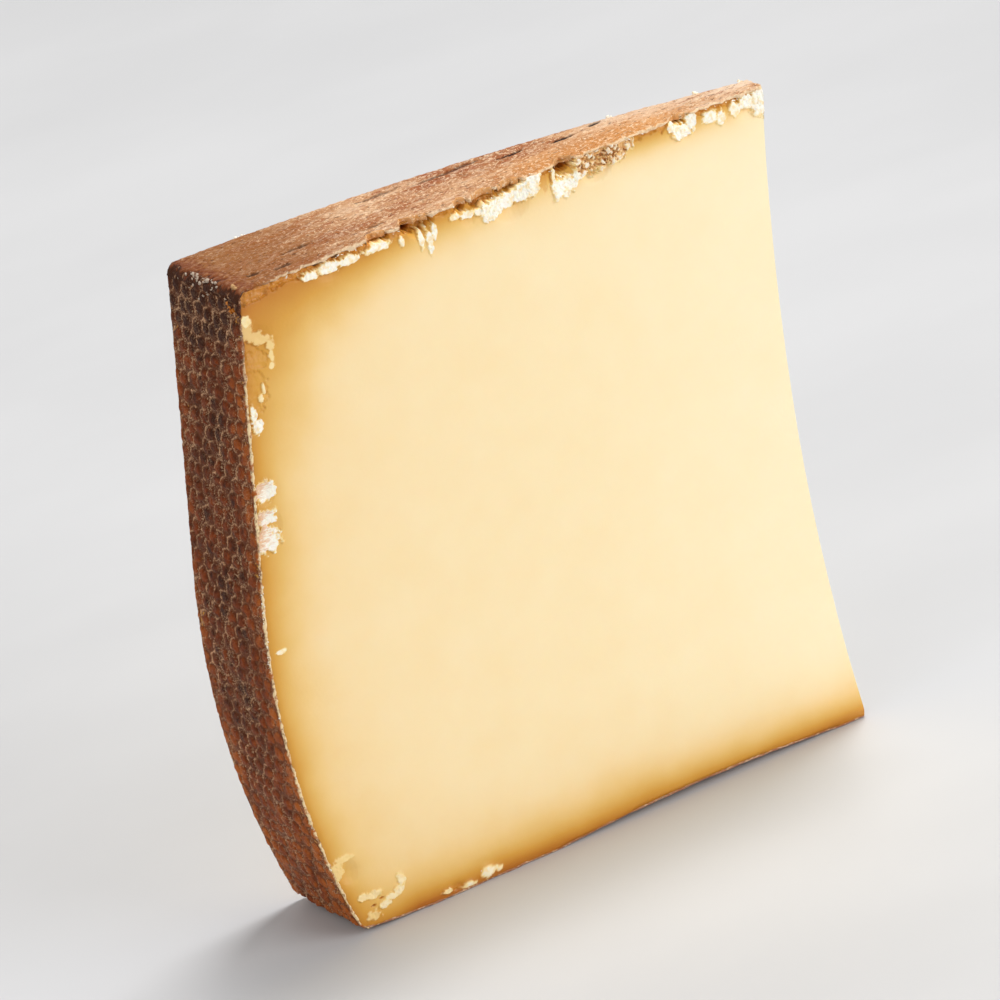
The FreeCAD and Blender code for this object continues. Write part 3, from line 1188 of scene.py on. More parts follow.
def long_edges(
    y: np.ndarray, front: float, back: np.ndarray, near: float, step: float
) -> tuple[np.ndarray, np.ndarray]:
    """Tells a sheet's two long edges from its short ends.

    Args:
        y: The depths of the rim's places.
        front: The front edge's y.
        back: The back edge's y at each place.
        near: How close to an edge a place counts as its own.
        step: How far the long edges are turned in behind the cuts.

    Returns:
        True for each place on a long edge, and its step along Y.
    """
    at_front, at_back = y < front + near, y > back - near
    return at_front | at_back, np.where(at_front, step, np.where(at_back, -step, 0.0))


@dataclass
class RindSheet:
    """A skin over one side of the wedge: a fine grid with its rim turned in and closed behind."""

    name: str
    columns: int
    rows: int

    def lay(self, place: Surface) -> bpy.types.Object:
        """Lays the grid over the side.

        Args:
            place: Turns the grid's two shares, from 0 to 1, into places in millimetres.

        Returns:
            The open sheet, facing outwards.
        """
        deselect()
        bpy.ops.mesh.primitive_grid_add(x_subdivisions=self.columns, y_subdivisions=self.rows, size=1.0)
        piece = bpy.context.active_object
        piece.name = self.name
        piece.data.name = self.name
        flat = corners(piece) * MM + 0.5
        self.shares = flat[:, 0], flat[:, 1]
        set_corners(piece, place(*self.shares))
        bpy.ops.object.shade_smooth()
        return piece

    def raise_relief(self, piece: bpy.types.Object, relief: np.ndarray) -> None:
        """Moves the sheet's vertices outwards by their relief in millimetres."""
        set_corners(piece, corners(piece) + normals(piece) * relief[:, None])

    def close(self, piece: bpy.types.Object, inwards: Curve) -> None:
        """Turns the rim in and closes the back.

        Args:
            piece: The sheet.
            inwards: Gives the rim's steps inwards from its places, both in millimetres.
        """
        activate(piece)
        laid = len(piece.data.vertices)
        bpy.ops.object.mode_set(mode="EDIT")
        bpy.ops.mesh.select_all(action="DESELECT")
        bpy.ops.mesh.select_mode(type="EDGE")
        bpy.ops.mesh.select_non_manifold()
        bpy.ops.mesh.extrude_region_move(TRANSFORM_OT_translate={"value": (0, 0, 0)})
        bpy.ops.object.mode_set(mode="OBJECT")
        places = corners(piece)
        places[laid:] += inwards(places[laid:])
        set_corners(piece, places)
        bpy.ops.object.mode_set(mode="EDIT")
        bpy.ops.mesh.edge_face_add()
        bpy.ops.object.mode_set(mode="OBJECT")


def nearest_of_lattice(
    across: np.ndarray, up: np.ndarray, pitch: float, row: float, jitter: float
) -> tuple[np.ndarray, np.ndarray, np.ndarray, np.ndarray, np.ndarray]:
    """Finds the two nearest dimples of a staggered lattice.

    Args:
        across: Places across the rows.
        up: Places along the columns.
        pitch: The dimples' spacing in a row.
        row: The rows' spacing.
        jitter: How far a dimple may stand from its place.

    Returns:
        The distances to the nearest and to the second, the offsets across and up from the nearest, and the
        nearest one's own number from 0 to 1.
    """
    first = np.full(len(across), 1e9)
    second = np.full(len(across), 1e9)
    off_across = np.zeros(len(across))
    off_up = np.zeros(len(across))
    own = np.zeros(len(across))
    base = np.round(up / row)
    for row_step in (-1, 0, 1):
        line = base + row_step
        shift = np.where(np.mod(line, 2) > 0.5, pitch / 2, 0.0)
        start = np.round((across - shift) / pitch)
        for column_step in (-1, 0, 1):
            column = start + column_step
            dice = np.sin(line * 12.9898 + column * 78.233) * 43758.5453
            dice -= np.floor(dice)
            turn = 2 * math.pi * dice
            dx = across - (column * pitch + shift + jitter * np.cos(turn))
            dz = up - (line * row + jitter * np.sin(turn))
            distance = np.hypot(dx / pitch, dz / row)
            closer = distance < first
            second = np.where(closer, first, np.minimum(second, distance))
            off_across = np.where(closer, dx, off_across)
            off_up = np.where(closer, dz, off_up)
            own = np.where(closer, dice, own)
            first = np.where(closer, distance, first)
    return first, second, off_across, off_up, own


@dataclass
class HeelRind:
    """The wheel's outer side, printed by the cloth of its mould."""

    form: CheeseForm
    finish: HeelFinish = field(default_factory=HeelFinish)
    cell: float = 0.2
    foot: float = 0.9
    head: float = 2.0
    pitch: float = 2.6
    row: float = 2.45
    dome: float = 0.4
    # How high the pale lines stand. They lie on one side of each dimple, where the finish also paints a
    # highlight.
    net_and_highlight: float = 0.16
    warp: float = 0.6
    jitter: float = 0.42
    rounding: float = 0.25
    drop: float = 0.16

    def build(self) -> bpy.types.Object:
        """Builds and dresses the rind.

        Returns:
            The finished piece.
        """
        low, high = self.form.low, self.form.high
        heights = np.linspace(low.z + self.foot, high.z - self.head, 120)
        depths = np.linspace(0.02, 0.98, 7)
        backs = np.array([self.form.back_y(self.form.heel_x(0, z) + 0.6, z) for z in heights])
        heel = np.array(
            [
                [self.form.heel_x(low.y + share * (back - low.y), z) for share in depths]
                for z, back in zip(heights, backs)
            ]
        )
        rows = round((high.z - self.head - low.z - self.foot) / self.cell)
        columns = round((high.y - low.y + 1.0) / self.cell)

        def place(u: np.ndarray, v: np.ndarray) -> np.ndarray:
            """Lays the grid from the back edge to the front one and from the foot up."""
            z = heights[0] + v * (heights[-1] - heights[0])
            ragged = grain(on_axis(z, 2), 1.1, 4, 45)
            drop = self.drop * np.clip(1 + 1.6 * ragged, 0.05, 3)
            width = np.interp(z, heights, backs) - low.y
            across, under = round_the_edges(1 - u, width, drop, drop, self.rounding)
            share = across / width
            column = np.clip((share - depths[0]) / (depths[-1] - depths[0]), 0, 1) * (len(depths) - 1)
            x = read_grid(heel, v * (len(heights) - 1), column)
            proud = 0.05 * smooth_step(0.1, 0.3, under) * np.where(share < 0.5, -1, 1)
            return np.column_stack((x + under, low.y + across + proud, z))

        def inwards(rim: np.ndarray) -> np.ndarray:
            """Turns the long edges in behind the cuts and the short ones behind the heel."""
            back = np.interp(rim[:, 2], heights, backs)
            long_side, across = long_edges(rim[:, 1], low.y, back, 0.4, 0.7)
            return np.column_stack((np.where(long_side, 0.25, 0.9), across, 0 * across))

        sheet = RindSheet("heel_rind", columns, rows)
        piece = sheet.lay(place)
        self.print_cloth(piece, np.interp(corners(piece)[:, 2], heights, backs))
        sheet.close(piece, inwards)
        return dress(piece, self.finish.build(), Slot.RIND)

    def print_cloth(self, piece: bpy.types.Object, back_edge: np.ndarray) -> None:
        """Raises the dimples and the pale lines between them, and stores them for the finish. The lines lie
        on one side of each dimple, where the finish paints them as the cloth's print and as a painted
        highlight.

        Args:
            piece: The sheet.
            back_edge: The back edge's y at each vertex.
        """
        places = corners(piece)
        _, y, z = places.T
        pull = self.warp * grain(places, (8, 8, 8), 3, 41)
        lean = self.warp * grain(places, (9, 9, 9), 3, 42)
        first, second, across, up, own = nearest_of_lattice(
            y + pull, z + lean, self.pitch, self.row, self.jitter
        )
        worn = smooth_step(-0.5, 0.25, grain(places, (6, 6, 9), 3, 43) + 0.005 * (z - 26))
        under_rim = smooth_step(0.0, 2.6, self.form.high.z - self.head - z)
        fine = grain(places, 0.5, 4, 46)
        rough = grain(places, (0.9, 0.9, 0.9), 4, 44)
        dome = np.clip(1 - (first / (0.45 + 0.13 * rough + 0.1 * fine)) ** 2, 0, 1) ** 0.75
        border = smooth_step(0.24 + 0.14 * fine, 0.03, second - first)
        # Which side of its dimple a place lies on: the pale lines and their painted highlight go on one side
        # only.
        towards = (0.9 * across / self.pitch + 0.4 * up / self.row) / np.maximum(first, 0.05)
        net_and_highlight = border * (0.03 + 0.97 * smooth_step(0.1, 0.6, towards + 0.45 * fine + 0.25 * rough))
        to_front, to_back = y - self.form.front, back_edge - y
        edge = np.minimum(to_front, to_back)
        inner = smooth_step(-0.05, 0.5, edge)
        printed = self.dome * (dome - 0.5) * (0.7 + 0.6 * own) + self.net_and_highlight * net_and_highlight
        relief = (0.6 + 0.4 * worn) * under_rim * inner * printed
        relief += inner * (0.07 * rough + 0.08 * fine)
        torn = grain(on_axis(z, 2), 2.4, 4, 47) + 0.35 * smooth_step(8, 3, np.abs(z - 58.5))
        lip = smooth_step(0.17, 0.02, np.minimum(to_front, to_back + 0.1) + 0.26 * rough - 0.16 * torn)
        relief += lip * 0.05 * (0.5 + fine)
        set_corners(piece, places + normals(piece) * relief[:, None])
        front = smooth_step(6.5, 0.5, to_front) * smooth_step(108, 100, z)
        low = smooth_step(44.0, 8.0, z)
        back = smooth_step(5.0, 0.0, to_back) * (0.6 + 0.4 * smooth_step(70, 35, z))
        dark_top = smooth_step(96.0, 106.0, z)
        store(piece, "dome", dome)
        muted = 1 - 0.55 * smooth_step(11.0, 4.0, to_front) * smooth_step(66, 52, z)
        store(piece, "net_and_highlight", np.clip(net_and_highlight * muted * (0.4 + 0.6 * worn) * (0.5 + 0.5 * under_rim), 0, 1))
        edges = 0.6 * front + 0.5 * low + 0.7 * back - 0.5 * dark_top
        store(piece, "warmth", edges + 0.3 * rough + 0.14 * (own - 0.5))
        store(piece, "lip", lip * smooth_step(107.5, 92.0, z))


@dataclass(frozen=True)
class Crack:
    """A split or pit in the upper rind, in millimetres: its middle, its size and its depth."""

    along: float
    back: float
    long: float
    wide: float
    deep: float


@dataclass
class UpperRind:
    """The brushed rind of the wheel's upper face, rolled over the heel's top and ragged along the cut."""

    form: CheeseForm
    finish: CrustFinish = field(default_factory=CrustFinish)
    cell: float = 0.22
    wide_cells: int = 92
    overlap: float = 4.6
    rounding: float = 0.3
    lip: float = 0.2
    overhang: float = 0.36
    deepest: float = 0.32
    cracks: tuple[Crack, ...] = (
        Crack(67.2, 8.4, 4.4, 1.2, 0.6),
        Crack(58.3, 10.1, 4.6, 1.1, 0.6),
        Crack(74.0, 9.3, 2.2, 1.1, 0.6),
        Crack(6.0, 4.2, 2.0, 1.2, 0.35),
        Crack(10.5, 2.6, 3.0, 1.0, 0.35),
        Crack(16.0, 7.0, 6.0, 0.9, 0.3),
        Crack(28.0, 3.6, 4.0, 0.8, 0.25),
        Crack(48.0, 12.6, 12.0, 1.2, 0.3),
        Crack(36.0, 14.2, 7.0, 0.9, 0.25),
    )

    def profile(self) -> np.ndarray:
        """The line over which the rind lies: up the heel's top, round the rim and on to the tip.

        Returns:
            Places along it as x and z, one row each.
        """
        form = self.form
        middle = form.front + 2.0
        heights = np.linspace(form.high.z - self.overlap, form.high.z - 3.4, 4)
        points = [(form.heel_x(middle, z), z) for z in heights]
        for turn in np.linspace(math.radians(168), math.radians(104), 9):
            place = form.rim_at(turn)
            points.append((place.x, place.z))
        for x in np.linspace(form.origin_x + 3.2, self.tip_x, 60):
            points.append((x, form.upper_z(x, middle)))
        return np.array(points)

    @property
    def tip_x(self) -> float:
        """How far the upper face reaches to the right."""
        return self.form.right_x(self.form.front + 1.2, self.form.high.z - 1.2) - 0.05

    def build(self) -> bpy.types.Object:
        """Builds and dresses the rind.

        Returns:
            The finished piece.
        """
        line = self.profile()
        steps = np.hypot(*np.diff(line, axis=0).T)
        run = np.concatenate(((0,), np.cumsum(steps)))
        last_x = self.tip_x - 0.4
        backs = np.array([self.form.back_y(min(x + 0.6, last_x), min(z, 111.0) - 1.2) for x, z in line])
        front = self.form.front
        tilt = np.gradient(line[:, 1], run)
        lean = np.gradient(line[:, 0], run)

        def place(u: np.ndarray, v: np.ndarray) -> np.ndarray:
            """Lays the grid from the heel to the tip and from the front edge to the back one."""
            travelled = u * run[-1]
            width = np.interp(travelled, run, backs) - front
            edge = np.column_stack((travelled, 9 * np.round(v), 0 * v))
            ragged = grain(edge, (2.2, 1, 1), 4, 54)
            wave = grain(edge, (7, 1, 1), 2, 55)
            drop = self.lip * np.clip(1 + 1.5 * ragged + 1.6 * wave, 0.1, 3.6)
            arch = arch_depth(np.interp(travelled, run, line[:, 0]) - self.form.low.x - BELLY_REACH)
            drop = np.where(v < 0.5, drop * (1 - 0.9 * smooth_step(0.0, 0.4, arch)), drop)
            across, under = round_the_edges(v, width, drop, drop, self.rounding)
            x = np.interp(travelled, run, line[:, 0]) + under * np.interp(travelled, run, tilt)
            z = np.interp(travelled, run, line[:, 1]) - under * np.interp(travelled, run, lean)
            return np.column_stack((x, front + across, z))

        def inwards(rim: np.ndarray) -> np.ndarray:
            """Turns the long edges in behind the cuts and the short ones into the paste."""
            back = np.interp(rim[:, 0], line[:, 0], backs)
            long_side, across = long_edges(rim[:, 1], front, back, 0.35, 0.7)
            at_heel = rim[:, 2] < self.form.high.z - self.overlap + 0.5
            down = np.where(long_side, -0.15, np.where(at_heel, 0.0, -0.8))
            return np.column_stack((np.where(at_heel, 0.8, 0.0), across, down))

        sheet = RindSheet("upper_rind", round(run[-1] / self.cell), self.wide_cells)
        piece = sheet.lay(place)
        self.weather(piece, sheet, run[-1], np.interp(sheet.shares[0] * run[-1], run, backs))
        sheet.close(piece, inwards)
        return dress(piece, self.finish.build("brushed_rind"), Slot.RIND)

    def weather(
        self, piece: bpy.types.Object, sheet: RindSheet, length: float, back_edge: np.ndarray
    ) -> None:
        """Roughens the rind, splits it and tears its front lip, and stores that for the finish.

        Args:
            piece: The sheet.
            sheet: How it was laid.
            length: The profile's length.
            back_edge: The back edge's y at each vertex.
        """
        places = corners(piece)
        x, y, z = places.T
        start = sheet.shares[0] * length
        along = x - self.form.low.x - BELLY_REACH
        back = y - self.form.front
        streak = grain(places, (4.5, 1.6, 2.0), 4, 51)
        fine = grain(places, (0.8, 0.7, 0.7), 4, 52)
        to_front, to_back = back, back_edge - y
        inner = smooth_step(0.0, 0.6, np.minimum(to_front, to_back))
        relief = (0.35 + 0.65 * inner) * (0.12 * streak + 0.17 * fine)
        crack_and_shade = np.zeros(len(x))
        for split in self.cracks:
            sideways = (along - split.along) / (split.long / 2)
            reach = 1.2 - np.hypot(sideways, (back - split.back) / (split.wide / 2))
            share = smooth_step(0.0, 0.3, reach + 0.3 * fine + 0.15 * streak)
            relief -= share * split.deep
            # Deeper splits get a larger number, and so more painted shade.
            crack_and_shade = np.maximum(crack_and_shade, share * min(1.0, split.deep * 2.2))
        relief -= 0.4 * smooth_step(1.2, 0.0, start + 0.9 * streak)
        sheet.raise_relief(piece, np.maximum(relief, -self.deepest))
        places = corners(piece)
        ragged = grain(on_axis(places[:, 0], 0), 1.4, 5, 53)
        hang = self.overhang * np.clip(0.3 + ragged, -0.3, 1.2) * smooth_step(2.0, 0.2, to_front)
        hang *= smooth_step(2.0, 7.0, start)
        arch = arch_depth(along) * smooth_step(3.4, 0.2, to_front) * (1 + 0.3 * fine)
        hang = np.where(arch > 0.1, np.minimum(hang, 0), hang)
        places[:, 1] += arch - hang
        places[:, 2] += 0.25 * np.minimum(arch, 1.0) * smooth_step(0.5, 0.0, to_front)
        places[:, 2] -= np.maximum(hang, 0) * 0.35
        set_corners(piece, places)
        rim = smooth_step(4.4, 2.2, start + 1.2 * streak + 1.6 * fine)
        rim = rim + 0.42 * smooth_step(8.5, 4.0, start + 3 * fine)
        down = smooth_step(0.3, 0.75, self.form.high.z - z - 1.9 * (1 - along / 104)) * (to_front < 0.2)
        fray = np.maximum(smooth_step(0.24, 0.0, to_front + 0.3 * fine), down)
        golden = smooth_step(9.0, 2.0, back) * smooth_step(44, 60, along) * smooth_step(90, 80, along)
        store(piece, "rim", np.clip(rim, 0, 1))
        store(piece, "age", smooth_step(36.0, 5.0, along + 6 * streak) * 0.8)
        store(piece, "crack_and_shade", crack_and_shade)
        open_arch = smooth_step(0.1, 0.5, arch_depth(along)) * smooth_step(0.5, 0.1, to_front)
        store(piece, "gold", np.maximum(0.65 * golden, 0.85 * open_arch))
        marks_x = (2, 8, 16, 30, 45, 60, 75, 90, 98)
        fore = np.interp(along, marks_x, (0.12, 0.2, 0.38, 0.45, 0.55, 0.5, 0.37, 0.68, 0.46))
        aft = np.interp(along, marks_x, (0.14, 0.36, 0.34, 0.72, 0.36, 0.34, 0.66, 0.76, 0.9))
        across = back / np.maximum(back_edge - self.form.front, 1)
        store(piece, "tone", fore + (aft - fore) * smooth_step(0.3, 0.7, across))
        lip = np.clip(fray, 0, 1) * smooth_step(4.0, 9.0, along) * (0.7 + 0.4 * fine)
        store(piece, "lip", lip * (1 - 0.8 * open_arch))


@dataclass
class LowerRind:
    """The rind of the wheel's lower face, on which the wedge stands."""

    form: CheeseForm
    finish: CrustFinish = field(default_factory=lambda: CrustFinish(tan=(198, 134, 78), pale=(222, 172, 122)))
    cell: float = 0.4
    wide_cells: int = 48
    rounding: float = 0.25
    drop: float = 0.12

    def build(self) -> bpy.types.Object:
        """Builds and dresses the rind.

        Returns:
            The finished piece.
        """
        form = self.form
        start = form.hit((form.low.x - RAY_START, form.front + 5, form.low.z + 1.2), (1, 0, 0)).x + 0.3
        end = form.right_x(form.front + 1.2, form.low.z + 1.6) - 0.1
        xs = np.linspace(start, end, 90)
        backs = np.array([form.back_y(x, form.lower_z(x, form.front + 1.2) + 1.0) for x in xs])
        depths = np.linspace(0, 1, 7)
        floor = np.array(
            [
                [form.lower_z(x, form.front + 0.3 + share * (back - form.front - 0.6)) for share in depths]
                for x, back in zip(xs, backs)
            ]
        )

        def place(u: np.ndarray, v: np.ndarray) -> np.ndarray:
            """Lays the grid from the heel to the tip and from the back edge to the front one."""
            x = start + u * (end - start)
            width = np.interp(x, xs, backs) - form.front
            ragged = grain(on_axis(x, 0), 1.6, 4, 62)
            drop = self.drop * np.clip(1 + 1.8 * ragged, 0.05, 3)
            across, under = round_the_edges(1 - v, width, drop, drop, self.rounding)
            proud = 0.05 * smooth_step(0.1, 0.25, under) * np.where(across < width / 2, -1, 1)
            z = read_grid(floor, u * (len(xs) - 1), np.clip(across / width, 0, 1) * (len(depths) - 1))
            return np.column_stack((x, form.front + across + proud, z + under))

        def inwards(rim: np.ndarray) -> np.ndarray:
            """Turns the long edges in behind the cuts and the short ones up."""
            back = np.interp(rim[:, 0], xs, backs)
            long_side, across = long_edges(rim[:, 1], form.front, back, 0.35, 0.6)
            return np.column_stack((0 * across, across, np.where(long_side, 0.15, 0.6)))

        sheet = RindSheet("lower_rind", round((end - start) / self.cell), self.wide_cells)
        piece = sheet.lay(place)
        places = corners(piece)
        streak = grain(places, (4.5, 0.9, 2.0), 4, 61)
        sheet.raise_relief(piece, np.minimum(0.12 * streak - 0.06, 0.0))
        for name in ("rim", "age", "crack_and_shade", "gold", "tone"):
            store(piece, name, np.zeros(len(places)))
        store(piece, "lip", 0.15 * smooth_step(0.8, 0.1, places[:, 1] - form.front))
        sheet.close(piece, inwards)
        return dress(piece, self.finish.build("standing_rind"), Slot.RIND)


# --------------------------------------------------------------------------------------- the crumbs


class Grit(Enum):
    """How finely a loose bit is made: the number of times that its ball is divided."""

    GRAIN = 1
    CRUMB = 2
    CURD = 3


@dataclass
class CrumbMaker:
    """Breaks crumbs: models a few lumps of each size once, then copies, turns and scatters them."""

    seed: int
    variants: int = 4
    lumpiness: float = 0.6

    def __post_init__(self) -> None:
        """Starts the dice and models the lumps."""
        self.dice = random.Random(self.seed)
        self.copies: list[bpy.types.Object] = []
        self.lumps = {grit: [self.lump(grit, number) for number in range(self.variants)] for grit in Grit}

    def lump(self, grit: Grit, number: int) -> bpy.types.Object:
        """Models one lump of a millimetre across.

        Args:
            grit: How finely.
            number: Which one of its kind.

        Returns:
            The lump.
        """
        deselect()
        bpy.ops.mesh.primitive_ico_sphere_add(subdivisions=grit.value, radius=0.5 * MM)
        piece = bpy.context.active_object
        places = corners(piece)
        swell = 1 + self.lumpiness * grain(places, 0.4, 1 + grit.value, 70 + self.seed + number)
        set_corners(piece, places * np.clip(swell, 0.35, 1.8)[:, None])
        return piece

    def drop(self, grit: Grit, place: Sequence[float], size: Sequence[float], free: bool = True) -> None:
        """Puts one bit down.

        Args:
            grit: Which kind.
            place: Its middle in millimetres.
            size: Its size along its three axes in millimetres.
            free: Whether it is turned at random about all axes, or about Y alone.
        """
        copy = self.dice.choice(self.lumps[grit]).copy()
        copy.data = copy.data.copy()
        bpy.context.scene.collection.objects.link(copy)
        spin = Matrix.Rotation(self.dice.uniform(0, 2 * math.pi), 4, "Y")
        if free:
            for axis in "XZ":
                spin = spin @ Matrix.Rotation(self.dice.uniform(0, 2 * math.pi), 4, axis)
        copy.data.transform(Matrix.Translation(Vector(place) * MM) @ spin @ Matrix.Diagonal((*size, 1)))
        self.copies.append(copy)

    def gather(self, name: str) -> bpy.types.Object:
        """Joins what was dropped into one piece.

        Args:
            name: The piece's name.

        Returns:
            The piece.
        """
        activate(self.copies[0])
        for copy in self.copies:
            copy.select_set(True)
        bpy.ops.object.join()
        piece = bpy.context.active_object
        piece.name = name
        piece.data.name = name
        bpy.ops.object.shade_smooth()
        for lumps in self.lumps.values():
            for lump in lumps:
                bpy.data.objects.remove(lump, do_unlink=True)
        return piece


@dataclass
class TornCrumbs:
    """White crumbs that cling to the torn places and to the rinds' front edges."""

    form: CheeseForm
    finish: CrumbFinish = field(default_factory=CrumbFinish)
    curds_per_mm2: float = 0.3
    grains_per_mark: float = 2.4
    heaped_from: float = 0.35
    proud: float = 0.55
    lip_grains: int = 55
    heel_grains: int = 70
    back_bits: tuple[tuple[float, float], ...] = (
        (12.5, 0.6),
        (13.6, 0.45),
        (77.0, 0.7),
        (91.5, 0.8),
        (99.0, 0.7),
    )

    def build(self) -> bpy.types.Object:
        """Builds and dresses the crumbs.

        Returns:
            The finished piece.
        """
        maker = CrumbMaker(seed=5)
        for mark in UPPER_MARKS + HEEL_MARKS:
            if mark.kind is Tear.CRUMBLE and mark.relief >= self.heaped_from:
                self.heap(maker, mark)
        self.fray_upper_lip(maker)
        self.fray_heel_edge(maker)
        self.stand_on_back_edge(maker)
        piece = maker.gather("torn_crumbs")
        places = corners(piece)
        places[:, 1] = np.maximum(places[:, 1], self.form.front - self.proud)
        set_corners(piece, places)
        return dress(piece, self.finish.build(), Slot.CRUMB)

    def within(self, dice: random.Random, mark: Mark, spread: float) -> tuple[float, float, float]:
        """Picks a place in a mark, as x, height and its share of the way out."""
        turn, reach = dice.uniform(0, 2 * math.pi), math.sqrt(dice.random())
        x = self.form.origin_x + mark.along + spread * mark.wide / 2 * reach * math.cos(turn)
        return x, mark.height + spread * mark.tall / 2 * reach * math.sin(turn), reach

    def heap(self, maker: CrumbMaker, mark: Mark) -> None:
        """Heaps curds on a crumbled place and scatters grains about it.

        Args:
            maker: Makes the bits.
            mark: The place.
        """
        dice = maker.dice
        for _ in range(max(1, round(self.curds_per_mm2 * mark.wide * mark.tall))):
            x, z, reach = self.within(dice, mark, 0.75)
            size = dice.uniform(0.5, 1.0) * (1.1 - 0.4 * reach)
            size *= min(1.0, 0.4 + 0.3 * min(mark.wide, mark.tall))
            y = self.surface_y(x, z) - mark.relief * 0.4
            flake = (size * dice.uniform(0.8, 1.6), size * 0.32, size * dice.uniform(0.5, 0.9))
            maker.drop(Grit.CURD, (min(x, self.tip_x(z) - 0.3), y, z), flake, free=False)
        for _ in range(round(self.grains_per_mark * math.sqrt(mark.wide * mark.tall))):
            x, z, reach = self.within(dice, mark, 1.15)
            size = dice.uniform(0.14, 0.34)
            y = self.surface_y(x, z) - mark.relief * 0.5 * max(0.0, 1 - reach)
            sizes = [size * dice.uniform(0.6, 1.5) for _ in range(3)]
            maker.drop(Grit.GRAIN, (min(x, self.tip_x(z) - 0.1), y, z), sizes)

    def surface_y(self, x: float, z: float) -> float:
        """Where the filled front cut is at a place."""
        place = self.form.hit((x, self.form.front - 1, min(z, self.form.upper_z(x, 0.0) - 0.6)), (0, 1, 0))
        depth = place.y - self.form.front if place else 0.0
        return self.form.front + min(depth, 2.0) * (1 - PasteCore.bite_fill)

    def tip_x(self, z: float) -> float:
        """Where the front cut ends on the right at a height."""
        return self.form.right_x(self.form.front + 0.2, min(z, 110.5))

    def fray_upper_lip(self, maker: CrumbMaker) -> None:
        """Drops fine crumbs along the lip of the upper rind."""
        dice = maker.dice
        for _ in range(self.lip_grains):
            along = dice.uniform(9, 100)
            if arch_depth(np.array([along]))[0] > 0:
                continue
            x = self.form.origin_x + along
            z = self.form.upper_z(x, self.form.front + 1.5) - dice.uniform(0.45, 1.0)
            size = dice.uniform(0.14, 0.42)
            place = (x, self.form.front - dice.uniform(-0.1, 0.3), z)
            maker.drop(Grit.GRAIN, place, (size * dice.uniform(0.8, 2.6), size, size * 0.7), free=False)

    def fray_heel_edge(self, maker: CrumbMaker) -> None:
        """Drops fine crumbs along the front edge of the heel."""
        dice = maker.dice
        for _ in range(self.heel_grains):
            z = dice.choice((dice.uniform(3, 105), dice.uniform(50, 66)))
            x = self.form.heel_x(self.form.front + 0.3, z) + dice.uniform(-0.05, 0.4)
            size = dice.uniform(0.12, 0.3)
            place = (x, self.form.front + dice.uniform(-0.08, 0.2), z)
            maker.drop(Grit.GRAIN, place, (size, size, size * dice.uniform(0.8, 2.4)))

    def stand_on_back_edge(self, maker: CrumbMaker) -> None:
        """Stands a few flakes on the upper rind's back edge."""
        for along, tall in self.back_bits:
            x = self.form.origin_x + along
            y = self.form.back_y(x, self.form.high.z - 3.5) - 0.25
            z = self.form.upper_z(x, y - 0.4)
            maker.drop(Grit.CURD, (x, y, z + 0.1 * tall), (0.9 * tall, 0.6 * tall, tall), free=False)
            maker.drop(Grit.CRUMB, (x + 0.6, y, z), (0.5 * tall, 0.5 * tall, 0.5 * tall))


@dataclass
class RimBits:
    """Grey mould grains, a beige smear and amber drops on the heel's upper rim."""

    form: CheeseForm
    finish: RimBitFinish = field(default_factory=RimBitFinish)
    smear: tuple[float, float, float] = (2.4, 111.6, 2.2)
    drop: tuple[float, float, float] = (2.2, 108.3, 1.9)
    lumps: int = 7
    grains: int = 44

    def build(self) -> bpy.types.Object:
        """Builds and dresses the bits.

        Returns:
            The finished piece.
        """
        maker = CrumbMaker(seed=9, lumpiness=0.9)
        dice = maker.dice
        front = self.form.front
        for behind, z, wide in (self.smear, self.drop):
            x = self.form.heel_x(front + behind, min(z, self.form.high.z - 3.0)) + (0.5 if z > 110 else 0.0)
            for _ in range(self.lumps):
                sideways, upwards = dice.gauss(0, 0.24) * wide, dice.gauss(0, 0.3)
                size = dice.uniform(0.6, 1.0)
                middle = self.on_rim(x + 0.2 * upwards, front + behind + sideways, z - 0.3 + upwards)
                maker.drop(Grit.CRUMB, middle, (0.6 * size, 0.36 * wide * size, 0.7 * size), free=False)
        big = sum(len(copy.data.vertices) for copy in maker.copies)
        for _ in range(self.grains):
            behind, z = dice.choice(
                (
                    (dice.gauss(9.4, 1.0), dice.gauss(110.6, 0.5)),
                    (dice.gauss(12.6, 1.3), dice.gauss(110.8, 0.5)),
                    (dice.uniform(2, 18), dice.uniform(107.5, 110.5)),
                )
            )
            z = min(z, self.form.high.z - 1.6)
            x = self.form.heel_x(front + behind, min(z, self.form.high.z - 3.2)) + 0.45 * max(0, z - 109.9)
            size = dice.uniform(0.14, 0.4)
            sizes = [size * dice.uniform(0.5, 1.7) for _ in range(3)]
            maker.drop(Grit.CRUMB, self.on_rim(x, front + behind, z), sizes)
        half = big // 2
        piece = maker.gather("rim_bits")
        tint = np.zeros(len(piece.data.vertices))
        tint[:half], tint[half:big] = 0.4, 1.0
        store(piece, "tint", tint)
        return dress(piece, self.finish.build(), Slot.RIND)

    def on_rim(self, x: float, y: float, z: float) -> Vector:
        """Moves a place near the rim onto it, straight in or out from a point inside the corner."""
        middle = self.form.inside_corner(y)
        out = (Vector((x, y, z)) - middle).normalized()
        return self.form.rim_place(middle, out) or Vector((x, y, z))


# --------------------------------------------------------------------------------------- the studio


@dataclass(frozen=True)
class Lamp:
    """A soft square lamp that faces the wedge: its aim in degrees, its sizes in millimetres, its watts."""

    name: str
    azimuth: float
    elevation: float
    far: float
    size: float
    power: float


